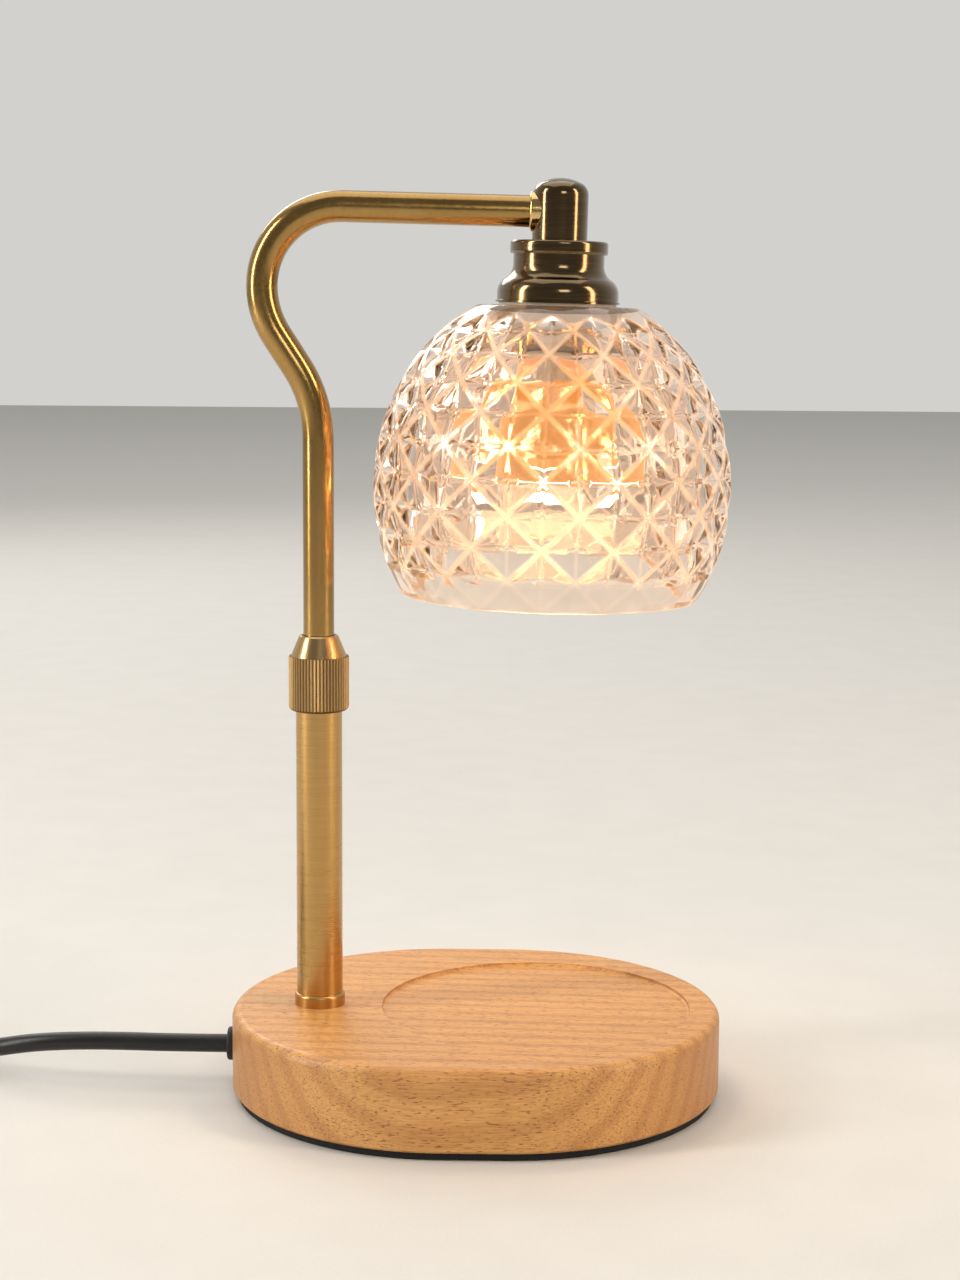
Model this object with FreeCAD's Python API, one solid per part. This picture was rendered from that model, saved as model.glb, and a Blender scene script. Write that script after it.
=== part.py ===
import FreeCAD, Part
import math
import os

# Candle warmer lamp: an oval wooden base, a brass post whose upper tube slides and swings, and a
# pressed-glass shade over a reflector bulb that warms what stands in the recess below it.
# Millimetres. X runs right along the arm, Y back, Z up, and the origin is under the base's centre.

V = FreeCAD.Vector
THROUGH = 1.0

# Wooden base, its pad, its recess and the pocket below
BASE_L = 160.0
BASE_W = 140.0
PAD_H = 2.5
PAD_INSET = 1.5
WOOD_TOP = 28.5
WOOD_EDGE_R = 3.0
WOOD_FOOT_CHAMFER = 0.8
RECESS_X = 19.7
RECESS_R = 50.6
RECESS_D = 1.2
RECESS_FLOOR_R = 1.0
POCKET_INSET = 14.0
POCKET_ROOF = 20.5
COVER_INSET = 7.0
COVER_T = 1.6
COVER_GAP = 0.4
COVER_TOP = PAD_H + COVER_T
PAD_EDGE_R = 0.6
WEIGHT_INSET = 20.0
WEIGHT_T = 5.0
WEIGHT_FOOT = POCKET_ROOF - WEIGHT_T
WEIGHT_NOTCH_R = 13.0
WEIGHT_SCREW_X = 34.0
WEIGHT_SCREW_Y = 30.0
WEIGHT_SCREW_TIP = 25.0
WOOD_SCREW_R = 1.6
WOOD_SCREW_HEAD_R = 3.4
COVER_SCREW_R = 1.35
COVER_SCREW_HEAD_R = 2.8
COVER_SCREW_TIP = 10.5
SCREW_SLOT = 0.6
SCREW_ROOM = 0.1

# Post: tube, collar, hollow threaded nipple with its washer and nut
POST_X = -51.5
POST_R = 7.5
POST_BORE_R = 6.3
POST_TOP = 126.5
COLLAR_R = 8.25
COLLAR_H = 4.0
NIPPLE_R = 5.0
NIPPLE_BORE_R = 3.75
NIPPLE_FOOT = 15.5
NIPPLE_TOP = 37.0
WASHER_R = 11.0
WASHER_T = 1.5
WASHER_SEAT_R = 12.0
WASHER_TOP = 23.5
NUT_FLAT = 17.0
NUT_H = 5.0

# Lock: bush with a conical seat, split collet, knurled nut
GUIDE_R = 5.1
SPIGOT_L = 6.5
BUSH_R = 8.2
BUSH_TOP = 139.0
SEAT_FOOT = 134.0
SEAT_R = 7.5
COLLET_FOOT = 134.6
COLLET_TOP = 146.0
COLLET_R = 7.2
COLLET_BORE_R = 5.04
COLLET_SLOT = 1.2
LOCK_R = 9.75
LOCK_KNURL_TOP = 144.3
LOCK_TOP = 151.0
LOCK_CONE_R = 9.0
LOCK_MOUTH_R = 6.2
LOCK_BORE_R = 5.35
LOCK_TEETH = 54
LOCK_TOOTH_D = 0.35
LOCK_FOOT_DROP = 1.6
LOCK_ROOM_TOP = 140.8
RUNNING = 0.08

# Upper tube: straight part, set-back, bow and sloping arm
TUBE_R = 5.0
TUBE_BORE_R = 4.0
TUBE_FOOT = 76.0
BEND_START = 214.2
SETBACK_R = 42.0
SETBACK_TURN = 33.0
SETBACK_RUN = 11.4
BOW_LOW_R = 29.0
BOW_TOP_R = 24.9
LEAN = 1.2
REACH = 76.5
ARM_END_GAP = 5.0
END_RING_R = 6.0
END_RING_H = 2.0
SLIDE_BUSH_R = POST_BORE_R - RUNNING
SLIDE_BUSH_H = 11.8
SLIDE_PLAY = 0.1
CLIP_H = 1.0
CLIP_GAP = 3.0
LEAD_R = 2.1
LEAD_MEET = 70.0
LEAD_TURN_R = 7.0

# Head, with heights above or below the arm's centre line on the head's own axis
ELBOW_R = 8.75
ELBOW_TOP = 10.6
ELBOW_FOOT = -9.0
ELBOW_ROOM_R = 6.0
ELBOW_ROOM_FOOT = -4.0
ELBOW_ROOM_TOP = 4.6
DOME_EDGE_R = 4.2
DOME_CROWN_R = 14.0
ARM_RING_R = 6.3
ARM_RING_L = 3.6
ARM_RING_EDGE_R = 0.9
HEAD_NIPPLE_BORE_R = 3.4
HEAD_NIPPLE_FOOT = -15.9
HEAD_NIPPLE_TOP = -5.0
HEAD_NUT_FLAT = 14.0
HEAD_NUT_FOOT = -15.4
CUP_PLATE_FOOT = -10.5
CUP_FLANGE_R = 15.5
CUP_FLANGE_FOOT = -13.2
CUP_EDGE_R = 1.0
CUP_NECK_R = 14.4
CUP_MOUTH_R = 19.25
CUP_FLARE_TOP = -16.4
CUP_FLARE_FOOT = -25.4
CUP_FOOT = -28.4
CUP_WALL = 1.0
CUP_LIP = 0.45
SLEEVE_R = 13.2
SLEEVE_BORE_R = 12.0
SLEEVE_PLATE_FOOT = -12.0
SLEEVE_FOOT = -40.0

# Glass shade, its gaskets and its ring nut
GLASS_TOP = -29.2
GLASS_RIM = -121.4
GLASS_MID = -86.4
GLASS_A = 57.0
GLASS_B = 63.8
GLASS_WALL = 4.5
GLASS_HOLE_R = 14.2
GLASS_SHOULDER_R = 1.2
GLASS_RIM_R = 0.9
UPPER_GASKET_R = 18.6
LOWER_GASKET_R = 19.0
LOWER_GASKET_T = 1.5
RING_NUT_R = 20.0
RING_NUT_H = 4.0
RING_NUT_TEETH = 36
RING_NUT_TOOTH_D = 0.5

# Lamp holder and reflector bulb
HOLDER_R = 11.7
HOLDER_TOP = -17.0
HOLDER_FOOT = -37.0
HOLDER_SCREW_Y = 9.0
HOLDER_SCREW_R = 1.2
HOLDER_HEAD_R = 2.0
HOLDER_HEAD_H = 1.8
HOLDER_HEAD_TOP = -34.0
CONTACT_L = 3.6
CONTACT_W = 3.2
CONTACT_TOP = -28.2
PIN_PITCH = 10.0
PIN_R = 1.4
PIN_HEAD_R = 2.45
PIN_HEAD_FOOT = -32.0
PIN_TOP = -29.6
PIN_SLOT_R = 2.7
PIN_SLOT_TOP = -28.0
BULB_NECK_FOOT = -49.0
BULB_NECK_R = 10.8
BULB_R = 25.0
BULB_RIM = -80.0
BULB_FACE = -84.0
BULB_WALL = 2.4
BULB_SIDE = (20.2, -60.5)
BULB_INNER_SIDE = (17.8, -62.5)
BULB_THROAT_R = 4.4
BULB_THROAT_FOOT = -51.0
LENS_R = 24.7
LENS_TOP = -82.8
LENS_EDGE = -83.4
LENS_CROWN = -84.9
CAPSULE_R = 3.5
CAPSULE_TOP = -42.0
CAPSULE_FOOT = -60.5

# Mains cord, its clamp and terminal block in the base
CORD_D = 6.0
CORD_R = CORD_D / 2
EXIT_Z = 14.2
GROMMET_FACE = -82.0
GROMMET_SEAT = -79.7
GROMMET_R = 5.5
GROMMET_EDGE_R = 0.8
GROMMET_BARREL_R = 4.5
GROMMET_BARREL_END = -75.5
CORD_ROOM_R = 7.0
CORD_ROOM_START = -74.0
CORD_ROOM_END = -60.0
CORD_ROOM_Z = 13.6
CLAMP_X = -34.0
CLAMP_Y = 14.0
CLAMP_Z = 8.2
CLAMP_L = 8.0
CLAMP_W = 22.0
CLAMP_FOOT = COVER_TOP + 0.6
CLAMP_SCREW_OFF = 8.0
CLAMP_SCREW_R = 1.5
CLAMP_SCREW_TIP = 20.0
CLAMP_HEAD_R = 2.7
CLAMP_HEAD_FOOT = COVER_TOP + 1.0
CLAMP_HEAD_TOP = COVER_TOP + 3.0
TERMINAL_X = -12.0
TERMINAL_L = 20.0
TERMINAL_W = 12.0
TERMINAL_SCREW_R = 1.6
TERMINAL_SCREW_FOOT = COVER_TOP + 2.0
TERMINAL_SCREW_TOP = COVER_TOP + 4.6

# In-line dimmer
DIMMER_X = -267.0
DIMMER_Y = 34.0
DIMMER_L = 60.0
DIMMER_W = 26.0
DIMMER_H = 19.0
DIMMER_CORNER_R = 8.0
DIMMER_TOP_R = 3.0
DIMMER_FOOT_R = 1.5
DIMMER_WALL = 2.0
DIMMER_SPLIT = 9.0
DIMMER_BOOT_L = 20.0
DIMMER_BOOT_R = 5.0
DIMMER_CORD_Z = 7.0
DIMMER_SCREWS = ((-24.0, -6.5), (24.0, 6.5))
DIMMER_POST_R = 2.8
DIMMER_SCREW_R = 1.2
DIMMER_SCREW_TIP = 14.5
DIMMER_HEAD_R = 2.2
DIMMER_HEAD_FOOT = 0.4
BOARD_L = 40.0
BOARD_W = 19.0
BOARD_T = 1.4
RESISTOR_L = 9.0
RESISTOR_NEAR = 3.6
RESISTOR_FAR = 9.6
RESISTOR_TOP = 16.6
WHEEL_R = 9.0
WHEEL_W = 5.2
WHEEL_Z = 12.8
WHEEL_TEETH = 40
WHEEL_TOOTH_D = 0.45
WHEEL_SLOT_L = 17.6
WHEEL_SLOT_W = 6.2
SPINDLE_R = 1.5
SPINDLE_END = 9.0
SPINDLE_ROOM = 0.06

# Coil of put-away cord, and the plug
COIL_X = -316.2
COIL_Y = -22.0
COIL_R = 43.0
COIL_PITCH = 6.6
COIL_LAYER_H = 6.6
COIL_QUARTERS_IN = 10
COIL_QUARTERS = 21
PLUG_TURN = 15.0
PLUG_RUN = 14.0
PLUG_BOOT_L = 22.0
PLUG_BOOT_R = 5.8
PLUG_L = 36.0
PLUG_W = 26.0
PLUG_CORNER_R = 7.0
PLUG_EDGE_R = 3.0
GRIP_R = 9.0
GRIP_D = 1.8
GRIP_X = 35.0
BOOT_TIP_R = CORD_R + 0.7
BOOT_GROOVE_D = 0.5
BLADE_L = 16.5
BLADE_H = 6.35
BLADE_T = 1.5
BLADE_PITCH = 12.7
BLADE_ROOT = 6.0
BLADE_TIP_CHAMFER = 0.5
BLADE_HOLE_R = 1.5
BLADE_HOLE_BACK = 4.5

# Routes of the cord, chosen by hand: lamp to dimmer, and dimmer to coil
DIMMER_END = DIMMER_L / 2 + DIMMER_BOOT_L
LAMP_ROUTE = [(GROMMET_FACE, 0.0, EXIT_Z), (-101.0, 0.0, EXIT_Z), (-118.0, 0.6, 14.4), (-134.0, 1.8, 13.9),
              (-148.0, 4.2, 12.3), (-160.0, 8.6, 9.2), (-170.5, 14.6, 5.8), (-180.0, 21.6, 3.7),
              (-190.0, 29.3, 4.4), (-203.0, DIMMER_Y, DIMMER_CORD_Z),
              (DIMMER_X + DIMMER_END, DIMMER_Y, DIMMER_CORD_Z)]
LEAD_IN_ROUTE = [(DIMMER_X - DIMMER_END, DIMMER_Y, DIMMER_CORD_Z), (-331.0, DIMMER_Y, DIMMER_CORD_Z),
                 (-343.9, 28.6, 5.4), (-353.8, 18.7, 3.8), (COIL_X - COIL_R, 5.8, CORD_R),
                 (COIL_X - COIL_R, COIL_Y + CORD_D, CORD_R)]
BASE_ROUTE = [(GROMMET_FACE, 0.0, EXIT_Z), (-69.0, 0.0, EXIT_Z), (-57.0, 8.0, 10.5),
              (-46.0, CLAMP_Y, CLAMP_Z), (TERMINAL_X - TERMINAL_L / 2, CLAMP_Y, CLAMP_Z)]
BASE_LEAD_ROUTE = [(TERMINAL_X, CLAMP_Y - TERMINAL_W / 2, 8.6), (TERMINAL_X, -6.0, 8.6), (-21.0, -17.5, 8.4),
                   (-36.0, -20.0, 8.0), (-48.0, -13.0, 7.6), (POST_X, 0.0, 7.4), (POST_X, 0.0, 22.0)]


# Plain solids

def rod(r, z0, z1, x=0.0, y=0.0):
    return Part.makeCylinder(r, z1 - z0, V(x, y, z0))


def ring(r_out, r_in, z0, z1, x=0.0, y=0.0):
    return rod(r_out, z0, z1, x, y).cut(rod(r_in, z0 - THROUGH, z1 + THROUGH, x, y))


def bar(r, start, end):
    step = end - start
    return Part.makeCylinder(r, step.Length, start, step)


def block(x0, x1, y0, y1, z0, z1):
    return Part.makeBox(x1 - x0, y1 - y0, z1 - z0, V(x0, y0, z0))


def group(shapes):
    return Part.makeCompound(shapes)


def joined(shapes):
    whole = shapes[0].fuse(shapes[1:])
    return whole.removeSplitter()


def prism(points, z0, z1):
    corners = [V(x, y, z0) for x, y in points]
    face = Part.Face(Part.makePolygon(corners + corners[:1]))
    return face.extrude(V(0, 0, z1 - z0))


def hexagon(flat, z0, z1, x=0.0):
    r = flat / math.sqrt(3)
    angles = [math.radians(60 * k) for k in range(6)]
    return prism([(x + r * math.cos(a), r * math.sin(a)) for a in angles], z0, z1)


def toothed(r, depth, teeth, z0, z1):
    points = []
    for k in range(teeth):
        for half, radius in ((0.0, r), (0.5, r - depth)):
            a = 2 * math.pi * (k + half) / teeth
            points.append((radius * math.cos(a), radius * math.sin(a)))
    return prism(points, z0, z1)


def rounded_plate(length, width, r, z0, z1, x=0.0, y=0.0):
    """A plate with round corners. With r of half the width its ends are half circles."""
    hx = length / 2 - r
    hy = width / 2 - r
    pieces = [block(x - hx, x + hx, y - width / 2, y + width / 2, z0, z1)]
    rows = (0.0,)
    if hy > 0:
        pieces.append(block(x - length / 2, x + length / 2, y - hy, y + hy, z0, z1))
        rows = (-hy, hy)
    for sx in (-1, 1):
        for row in rows:
            pieces.append(rod(r, z0, z1, x + sx * hx, y + row))
    return joined(pieces)


def oval(inset, z0, z1):
    """A slice of the base's oval plan, drawn in from its edge by inset."""
    width = BASE_W - 2 * inset
    return rounded_plate(BASE_L - 2 * inset, width, width / 2, z0, z1)


# Turned solids

def outline(points):
    """A closed wire in the XZ plane. (r, z) ends a line, (rm, zm, r, z) is an arc's middle and end."""
    first = V(points[0][0], 0, points[0][1])
    last = first
    edges = []
    for p in points[1:]:
        end = V(p[-2], 0, p[-1])
        if len(p) == 4:
            edges.append(Part.Arc(last, V(p[0], 0, p[1]), end).toShape())
        else:
            edges.append(Part.LineSegment(last, end).toShape())
        last = end
    edges.append(Part.LineSegment(last, first).toShape())
    return Part.Wire(edges)


def turned(points, x=0.0):
    """A solid turned about the vertical axis through x."""
    solid = Part.Face(outline(points)).revolve(V(0, 0, 0), V(0, 0, 1), 360)
    solid.translate(V(x, 0, 0))
    return solid


def on_circle(centre_r, centre_z, r, degrees):
    a = math.radians(degrees)
    return (centre_r + r * math.cos(a), centre_z + r * math.sin(a))


def round_cap(r, z_edge, z_pole):
    """An arc from (r, z_edge) to the axis at z_pole, centred on the axis."""
    h = abs(z_pole - z_edge)
    big = (r * r + h * h) / (2 * h)
    half = math.atan2(r, big - h) / 2
    side = 1 if z_pole > z_edge else -1
    return (big * math.sin(half), z_pole - side * big * (1 - math.cos(half)), 0, z_pole)


def softened(shape, r, z):
    """Rounds every edge that lies flat at height z."""
    picked = []
    for edge in shape.Edges:
        box = edge.BoundBox
        if abs(box.ZMin - z) < 1e-4 and abs(box.ZMax - z) < 1e-4:
            picked.append(edge)
    return shape.makeFillet(r, picked)


# Swept tubes

def arc_through(start, heading, end):
    """The arc that leaves start along heading and reaches end."""
    chord = end - start
    along = V(chord).normalize()
    cosine = max(-1.0, min(1.0, heading.dot(along)))
    side = heading - along * cosine
    side.normalize()
    rise = chord.Length / 2 * math.tan(math.acos(cosine) / 2)
    return Part.Arc(start, (start + end) * 0.5 + side * rise, end).toShape()


def swept(edges, r):
    """A round bar along edges that follow one another smoothly."""
    first = edges[0]
    start = first.valueAt(first.FirstParameter)
    heading = first.tangentAt(first.FirstParameter)
    section = Part.Wire(Part.Circle(start, heading, r).toShape())
    return Part.Wire(edges).makePipeShell([section], True, False)


def bent_run(start, steps):
    """A tube's centre line in the XZ plane, rising at first: straight lengths, and turns as
    (radius, degrees), where a turn to the left has positive degrees."""
    edges = []
    place = start
    heading = 90.0
    for step in steps:
        a = math.radians(heading)
        forward = V(math.cos(a), 0, math.sin(a))
        if isinstance(step, tuple):
            r, turn = step
            side = math.copysign(1, turn)
            b = math.radians(turn)
            centre = place + V(-math.sin(a), 0, math.cos(a)) * side * r
            end = centre + V(math.sin(a + b), 0, -math.cos(a + b)) * side * r
            edges.append(arc_through(place, forward, end))
            heading += turn
        else:
            end = place + forward * step
            edges.append(Part.LineSegment(place, end).toShape())
        place = end
    return edges, place


def cord_edges(name, route):
    """Straight runs joined by tangent arcs, each as large as its two runs allow."""
    points = [V(*p) for p in route]
    edges = []
    radii = []
    last = points[0]
    for before, corner, after in zip(points, points[1:], points[2:]):
        back = before - corner
        on = after - corner
        cut = 0.45 * min(back.Length, on.Length)
        back.normalize()
        on.normalize()
        half_turn = (math.pi - back.getAngle(on)) / 2
        radii.append(cut / math.tan(half_turn))
        start = corner + back * cut
        end = corner + on * cut
        edges.append(Part.LineSegment(last, start).toShape())
        edges.append(arc_through(start, back * -1, end))
        last = end
    edges.append(Part.LineSegment(last, points[-1]).toShape())
    print(name, "bend radii", [round(r, 1) for r in radii], "least", round(min(radii), 1))
    return edges


def checked_tube(name, edges, r):
    """The swept tube, with its volume compared with its section times its length."""
    solid = swept(edges, r)
    length = sum(edge.Length for edge in edges)
    share = solid.Volume / (math.pi * r * r * length)
    print(name, "length", round(length, 1), "volume over section times length", round(share, 4))
    return solid


def biarc(p0, t0, p1, t1):
    """Two arcs that join p0 to p1 and keep both headings."""
    v = p1 - p0
    t = t0 + t1
    spread = 2 * (1 - t0.dot(t1))
    d = (math.sqrt(v.dot(t) ** 2 + spread * v.dot(v)) - v.dot(t)) / spread
    middle = (p0 + t0 * d + p1 - t1 * d) * 0.5
    heading = (middle - p0 - t0 * d).normalize()
    return [arc_through(p0, t0, middle), arc_through(middle, heading, p1)]


def save(name, shape):
    shape.exportStep("parts/%s.step" % name)


# Wooden base: one board, routed to an oval, with a shallow recess on top and a pocket below

def weight_screw_places():
    return [(sx * WEIGHT_SCREW_X, sy * WEIGHT_SCREW_Y) for sx in (-1, 1) for sy in (-1, 1)]


def cover_screw_places():
    """Five places on the ledge round the pocket, clear of the cord's hole."""
    centre_x = (BASE_L - BASE_W) / 2
    r = BASE_W / 2 - (COVER_INSET + POCKET_INSET) / 2
    places = []
    for side, degrees in ((1, 0), (1, 70), (1, -70), (-1, 135), (-1, -135)):
        a = math.radians(degrees)
        places.append((side * centre_x + r * math.cos(a), r * math.sin(a)))
    return places


def countersunk_screw(x, y, head_z, head_r, shank_r, tip_z):
    head_h = head_r - shank_r
    head = Part.makeCone(head_r, shank_r, head_h, V(x, y, head_z))
    screw = head.fuse(rod(shank_r, head_z + head_h, tip_z, x, y))
    half_slot = SCREW_SLOT / 2
    return screw.cut(block(x - head_r, x + head_r, y - half_slot, y + half_slot,
                           head_z - THROUGH, head_z + SCREW_SLOT))


def wooden_base():
    wood = softened(oval(0.0, PAD_H, WOOD_TOP), WOOD_EDGE_R, WOOD_TOP)
    foot_edges = [e for e in wood.Edges if e.BoundBox.ZMax < PAD_H + 1e-4]
    wood = wood.makeChamfer(WOOD_FOOT_CHAMFER, foot_edges)
    recess_floor = WOOD_TOP - RECESS_D
    dish = rod(RECESS_R, recess_floor, WOOD_TOP + THROUGH, RECESS_X)
    wood = wood.cut(softened(dish, RECESS_FLOOR_R, recess_floor))
    wood = wood.cut(oval(POCKET_INSET, PAD_H - THROUGH, POCKET_ROOF))
    wood = wood.cut(oval(COVER_INSET, PAD_H - THROUGH, COVER_TOP))
    wood = wood.cut(rod(NIPPLE_R + 0.2, POCKET_ROOF - THROUGH, WOOD_TOP + THROUGH, POST_X))
    wood = wood.cut(rod(WASHER_SEAT_R, POCKET_ROOF - THROUGH, WASHER_TOP, POST_X))
    outside = V(-BASE_L / 2 - THROUGH, 0, EXIT_Z)
    wood = wood.cut(bar(GROMMET_BARREL_R, outside, V(CORD_ROOM_END, 0, EXIT_Z)))
    wood = wood.cut(bar(GROMMET_R + 0.1, outside, V(GROMMET_SEAT, 0, EXIT_Z)))
    wood = wood.cut(bar(CORD_ROOM_R, V(CORD_ROOM_START, 0, CORD_ROOM_Z), V(CORD_ROOM_END, 0, CORD_ROOM_Z)))
    for x, y in weight_screw_places():
        wood = wood.cut(rod(WOOD_SCREW_R, POCKET_ROOF - THROUGH, WEIGHT_SCREW_TIP, x, y))
    for x, y in cover_screw_places():
        wood = wood.cut(rod(COVER_SCREW_R, PAD_H, COVER_SCREW_TIP, x, y))
    return wood


def base_weight():
    plate = oval(WEIGHT_INSET, WEIGHT_FOOT, POCKET_ROOF)
    low = WEIGHT_FOOT - THROUGH
    high = POCKET_ROOF + THROUGH
    plate = plate.cut(rod(WEIGHT_NOTCH_R, low, high, POST_X))
    hole_r = WOOD_SCREW_R + SCREW_ROOM
    sink_r = WOOD_SCREW_HEAD_R + SCREW_ROOM
    for x, y in weight_screw_places():
        sink = Part.makeCone(sink_r, hole_r, sink_r - hole_r, V(x, y, WEIGHT_FOOT))
        plate = plate.cut(sink).cut(rod(hole_r, low, high, x, y))
    for side in (-1, 1):
        plate = plate.cut(rod(CLAMP_SCREW_R, low, high, CLAMP_X, CLAMP_Y + side * CLAMP_SCREW_OFF))
    return plate


def make_base():
    save("wooden_base", wooden_base())
    save("base_weight", base_weight())
    save("weight_screws", group([
        countersunk_screw(x, y, WEIGHT_FOOT, WOOD_SCREW_HEAD_R, WOOD_SCREW_R, WEIGHT_SCREW_TIP)
        for x, y in weight_screw_places()]))
    cover = oval(COVER_INSET + COVER_GAP, PAD_H, COVER_TOP)
    for x, y in cover_screw_places():
        sink = Part.makeCone(COVER_SCREW_HEAD_R + SCREW_ROOM, COVER_SCREW_R, COVER_T, V(x, y, PAD_H))
        cover = cover.cut(sink)
    save("bottom_cover", cover)
    save("cover_screws", group([
        countersunk_screw(x, y, PAD_H, COVER_SCREW_HEAD_R, COVER_SCREW_R, COVER_SCREW_TIP)
        for x, y in cover_screw_places()]))
    save("foot_pad", softened(oval(PAD_INSET, 0.0, PAD_H), PAD_EDGE_R, 0.0))


# Cord entry: a rubber grommet in the base's left end, a clamp and a terminal block under the weight

def make_cord_entry():
    flange = bar(GROMMET_R, V(GROMMET_FACE, 0, EXIT_Z), V(GROMMET_SEAT, 0, EXIT_Z))
    face_rim = [e for e in flange.Edges if e.BoundBox.XMax < GROMMET_FACE + 1e-4]
    flange = flange.makeFillet(GROMMET_EDGE_R, face_rim)
    barrel = bar(GROMMET_BARREL_R, V(GROMMET_SEAT, 0, EXIT_Z), V(GROMMET_BARREL_END, 0, EXIT_Z))
    bore = bar(CORD_R, V(GROMMET_FACE - THROUGH, 0, EXIT_Z), V(GROMMET_BARREL_END + THROUGH, 0, EXIT_Z))
    save("cord_grommet", joined([flange, barrel]).cut(bore))
    tail = cord_edges("cord_tail_in_base", BASE_ROUTE)
    save("cord_tail_in_base", checked_tube("cord_tail_in_base", tail, CORD_R))
    make_clamp()
    make_terminal_block()
    lead = cord_edges("base_lead", BASE_LEAD_ROUTE)
    lead.append(Part.LineSegment(V(*BASE_LEAD_ROUTE[-1]), V(POST_X, 0, LEAD_MEET)).toShape())
    save("base_lead", checked_tube("base_lead", lead, LEAD_R))


def make_clamp():
    x0 = CLAMP_X - CLAMP_L / 2
    x1 = CLAMP_X + CLAMP_L / 2
    saddle = block(x0, x1, CLAMP_Y - CLAMP_W / 2, CLAMP_Y + CLAMP_W / 2, CLAMP_FOOT, WEIGHT_FOOT)
    saddle = saddle.cut(bar(CORD_R, V(x0 - THROUGH, CLAMP_Y, CLAMP_Z), V(x1 + THROUGH, CLAMP_Y, CLAMP_Z)))
    screws = []
    for side in (-1, 1):
        y = CLAMP_Y + side * CLAMP_SCREW_OFF
        saddle = saddle.cut(rod(CLAMP_SCREW_R, 0, WEIGHT_FOOT + THROUGH, CLAMP_X, y))
        saddle = saddle.cut(rod(CLAMP_HEAD_R + SCREW_ROOM, 0, CLAMP_HEAD_TOP, CLAMP_X, y))
        screws.append(joined([rod(CLAMP_HEAD_R, CLAMP_HEAD_FOOT, CLAMP_HEAD_TOP, CLAMP_X, y),
                              rod(CLAMP_SCREW_R, CLAMP_HEAD_TOP, CLAMP_SCREW_TIP, CLAMP_X, y)]))
    save("cord_clamp", saddle)
    save("clamp_screws", group(screws))


def make_terminal_block():
    body = block(TERMINAL_X - TERMINAL_L / 2, TERMINAL_X + TERMINAL_L / 2,
                 CLAMP_Y - TERMINAL_W / 2, CLAMP_Y + TERMINAL_W / 2, CLAMP_FOOT, WEIGHT_FOOT)
    screws = []
    slot_top = TERMINAL_SCREW_FOOT + SCREW_SLOT
    for sx in (-1, 1):
        for sy in (-1, 1):
            x = TERMINAL_X + sx * TERMINAL_L / 4
            y = CLAMP_Y + sy * TERMINAL_W / 4
            body = body.cut(rod(TERMINAL_SCREW_R + SCREW_ROOM, 0, TERMINAL_SCREW_TOP, x, y))
            screw = rod(TERMINAL_SCREW_R, TERMINAL_SCREW_FOOT, TERMINAL_SCREW_TOP, x, y)
            slot = block(x - 2, x + 2, y - SCREW_SLOT / 2, y + SCREW_SLOT / 2, 0, slot_top)
            screws.append(screw.cut(slot))
    save("terminal_block", body)
    save("terminal_screws", group(screws))


# Post: a brass tube on the base, drawn down by a hollow threaded nipple, with a collar at its foot

def make_post():
    save("lower_tube", ring(POST_R, POST_BORE_R, WOOD_TOP, POST_TOP, POST_X))
    collar_top = WOOD_TOP + COLLAR_H
    collar = rod(COLLAR_R, WOOD_TOP, collar_top, POST_X)
    collar = softened(collar, 0.8, collar_top)
    save("post_collar", collar.cut(rod(POST_R, WOOD_TOP - THROUGH, collar_top + THROUGH, POST_X)))
    save("tube_foot_bush", ring(POST_BORE_R, NIPPLE_R, WOOD_TOP, NIPPLE_TOP + 1.0, POST_X))
    save("post_nipple", ring(NIPPLE_R, NIPPLE_BORE_R, NIPPLE_FOOT, NIPPLE_TOP, POST_X))
    washer_foot = WASHER_TOP - WASHER_T
    save("post_washer", ring(WASHER_R, NIPPLE_R + 0.2, washer_foot, WASHER_TOP, POST_X))
    nut = hexagon(NUT_FLAT, washer_foot - NUT_H, washer_foot, POST_X)
    save("post_nut", nut.cut(rod(NIPPLE_R, NIPPLE_FOOT, WASHER_TOP, POST_X)))


# Lock: a bush in the post's top, a split collet in its conical seat, and a knurled nut over both

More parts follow.
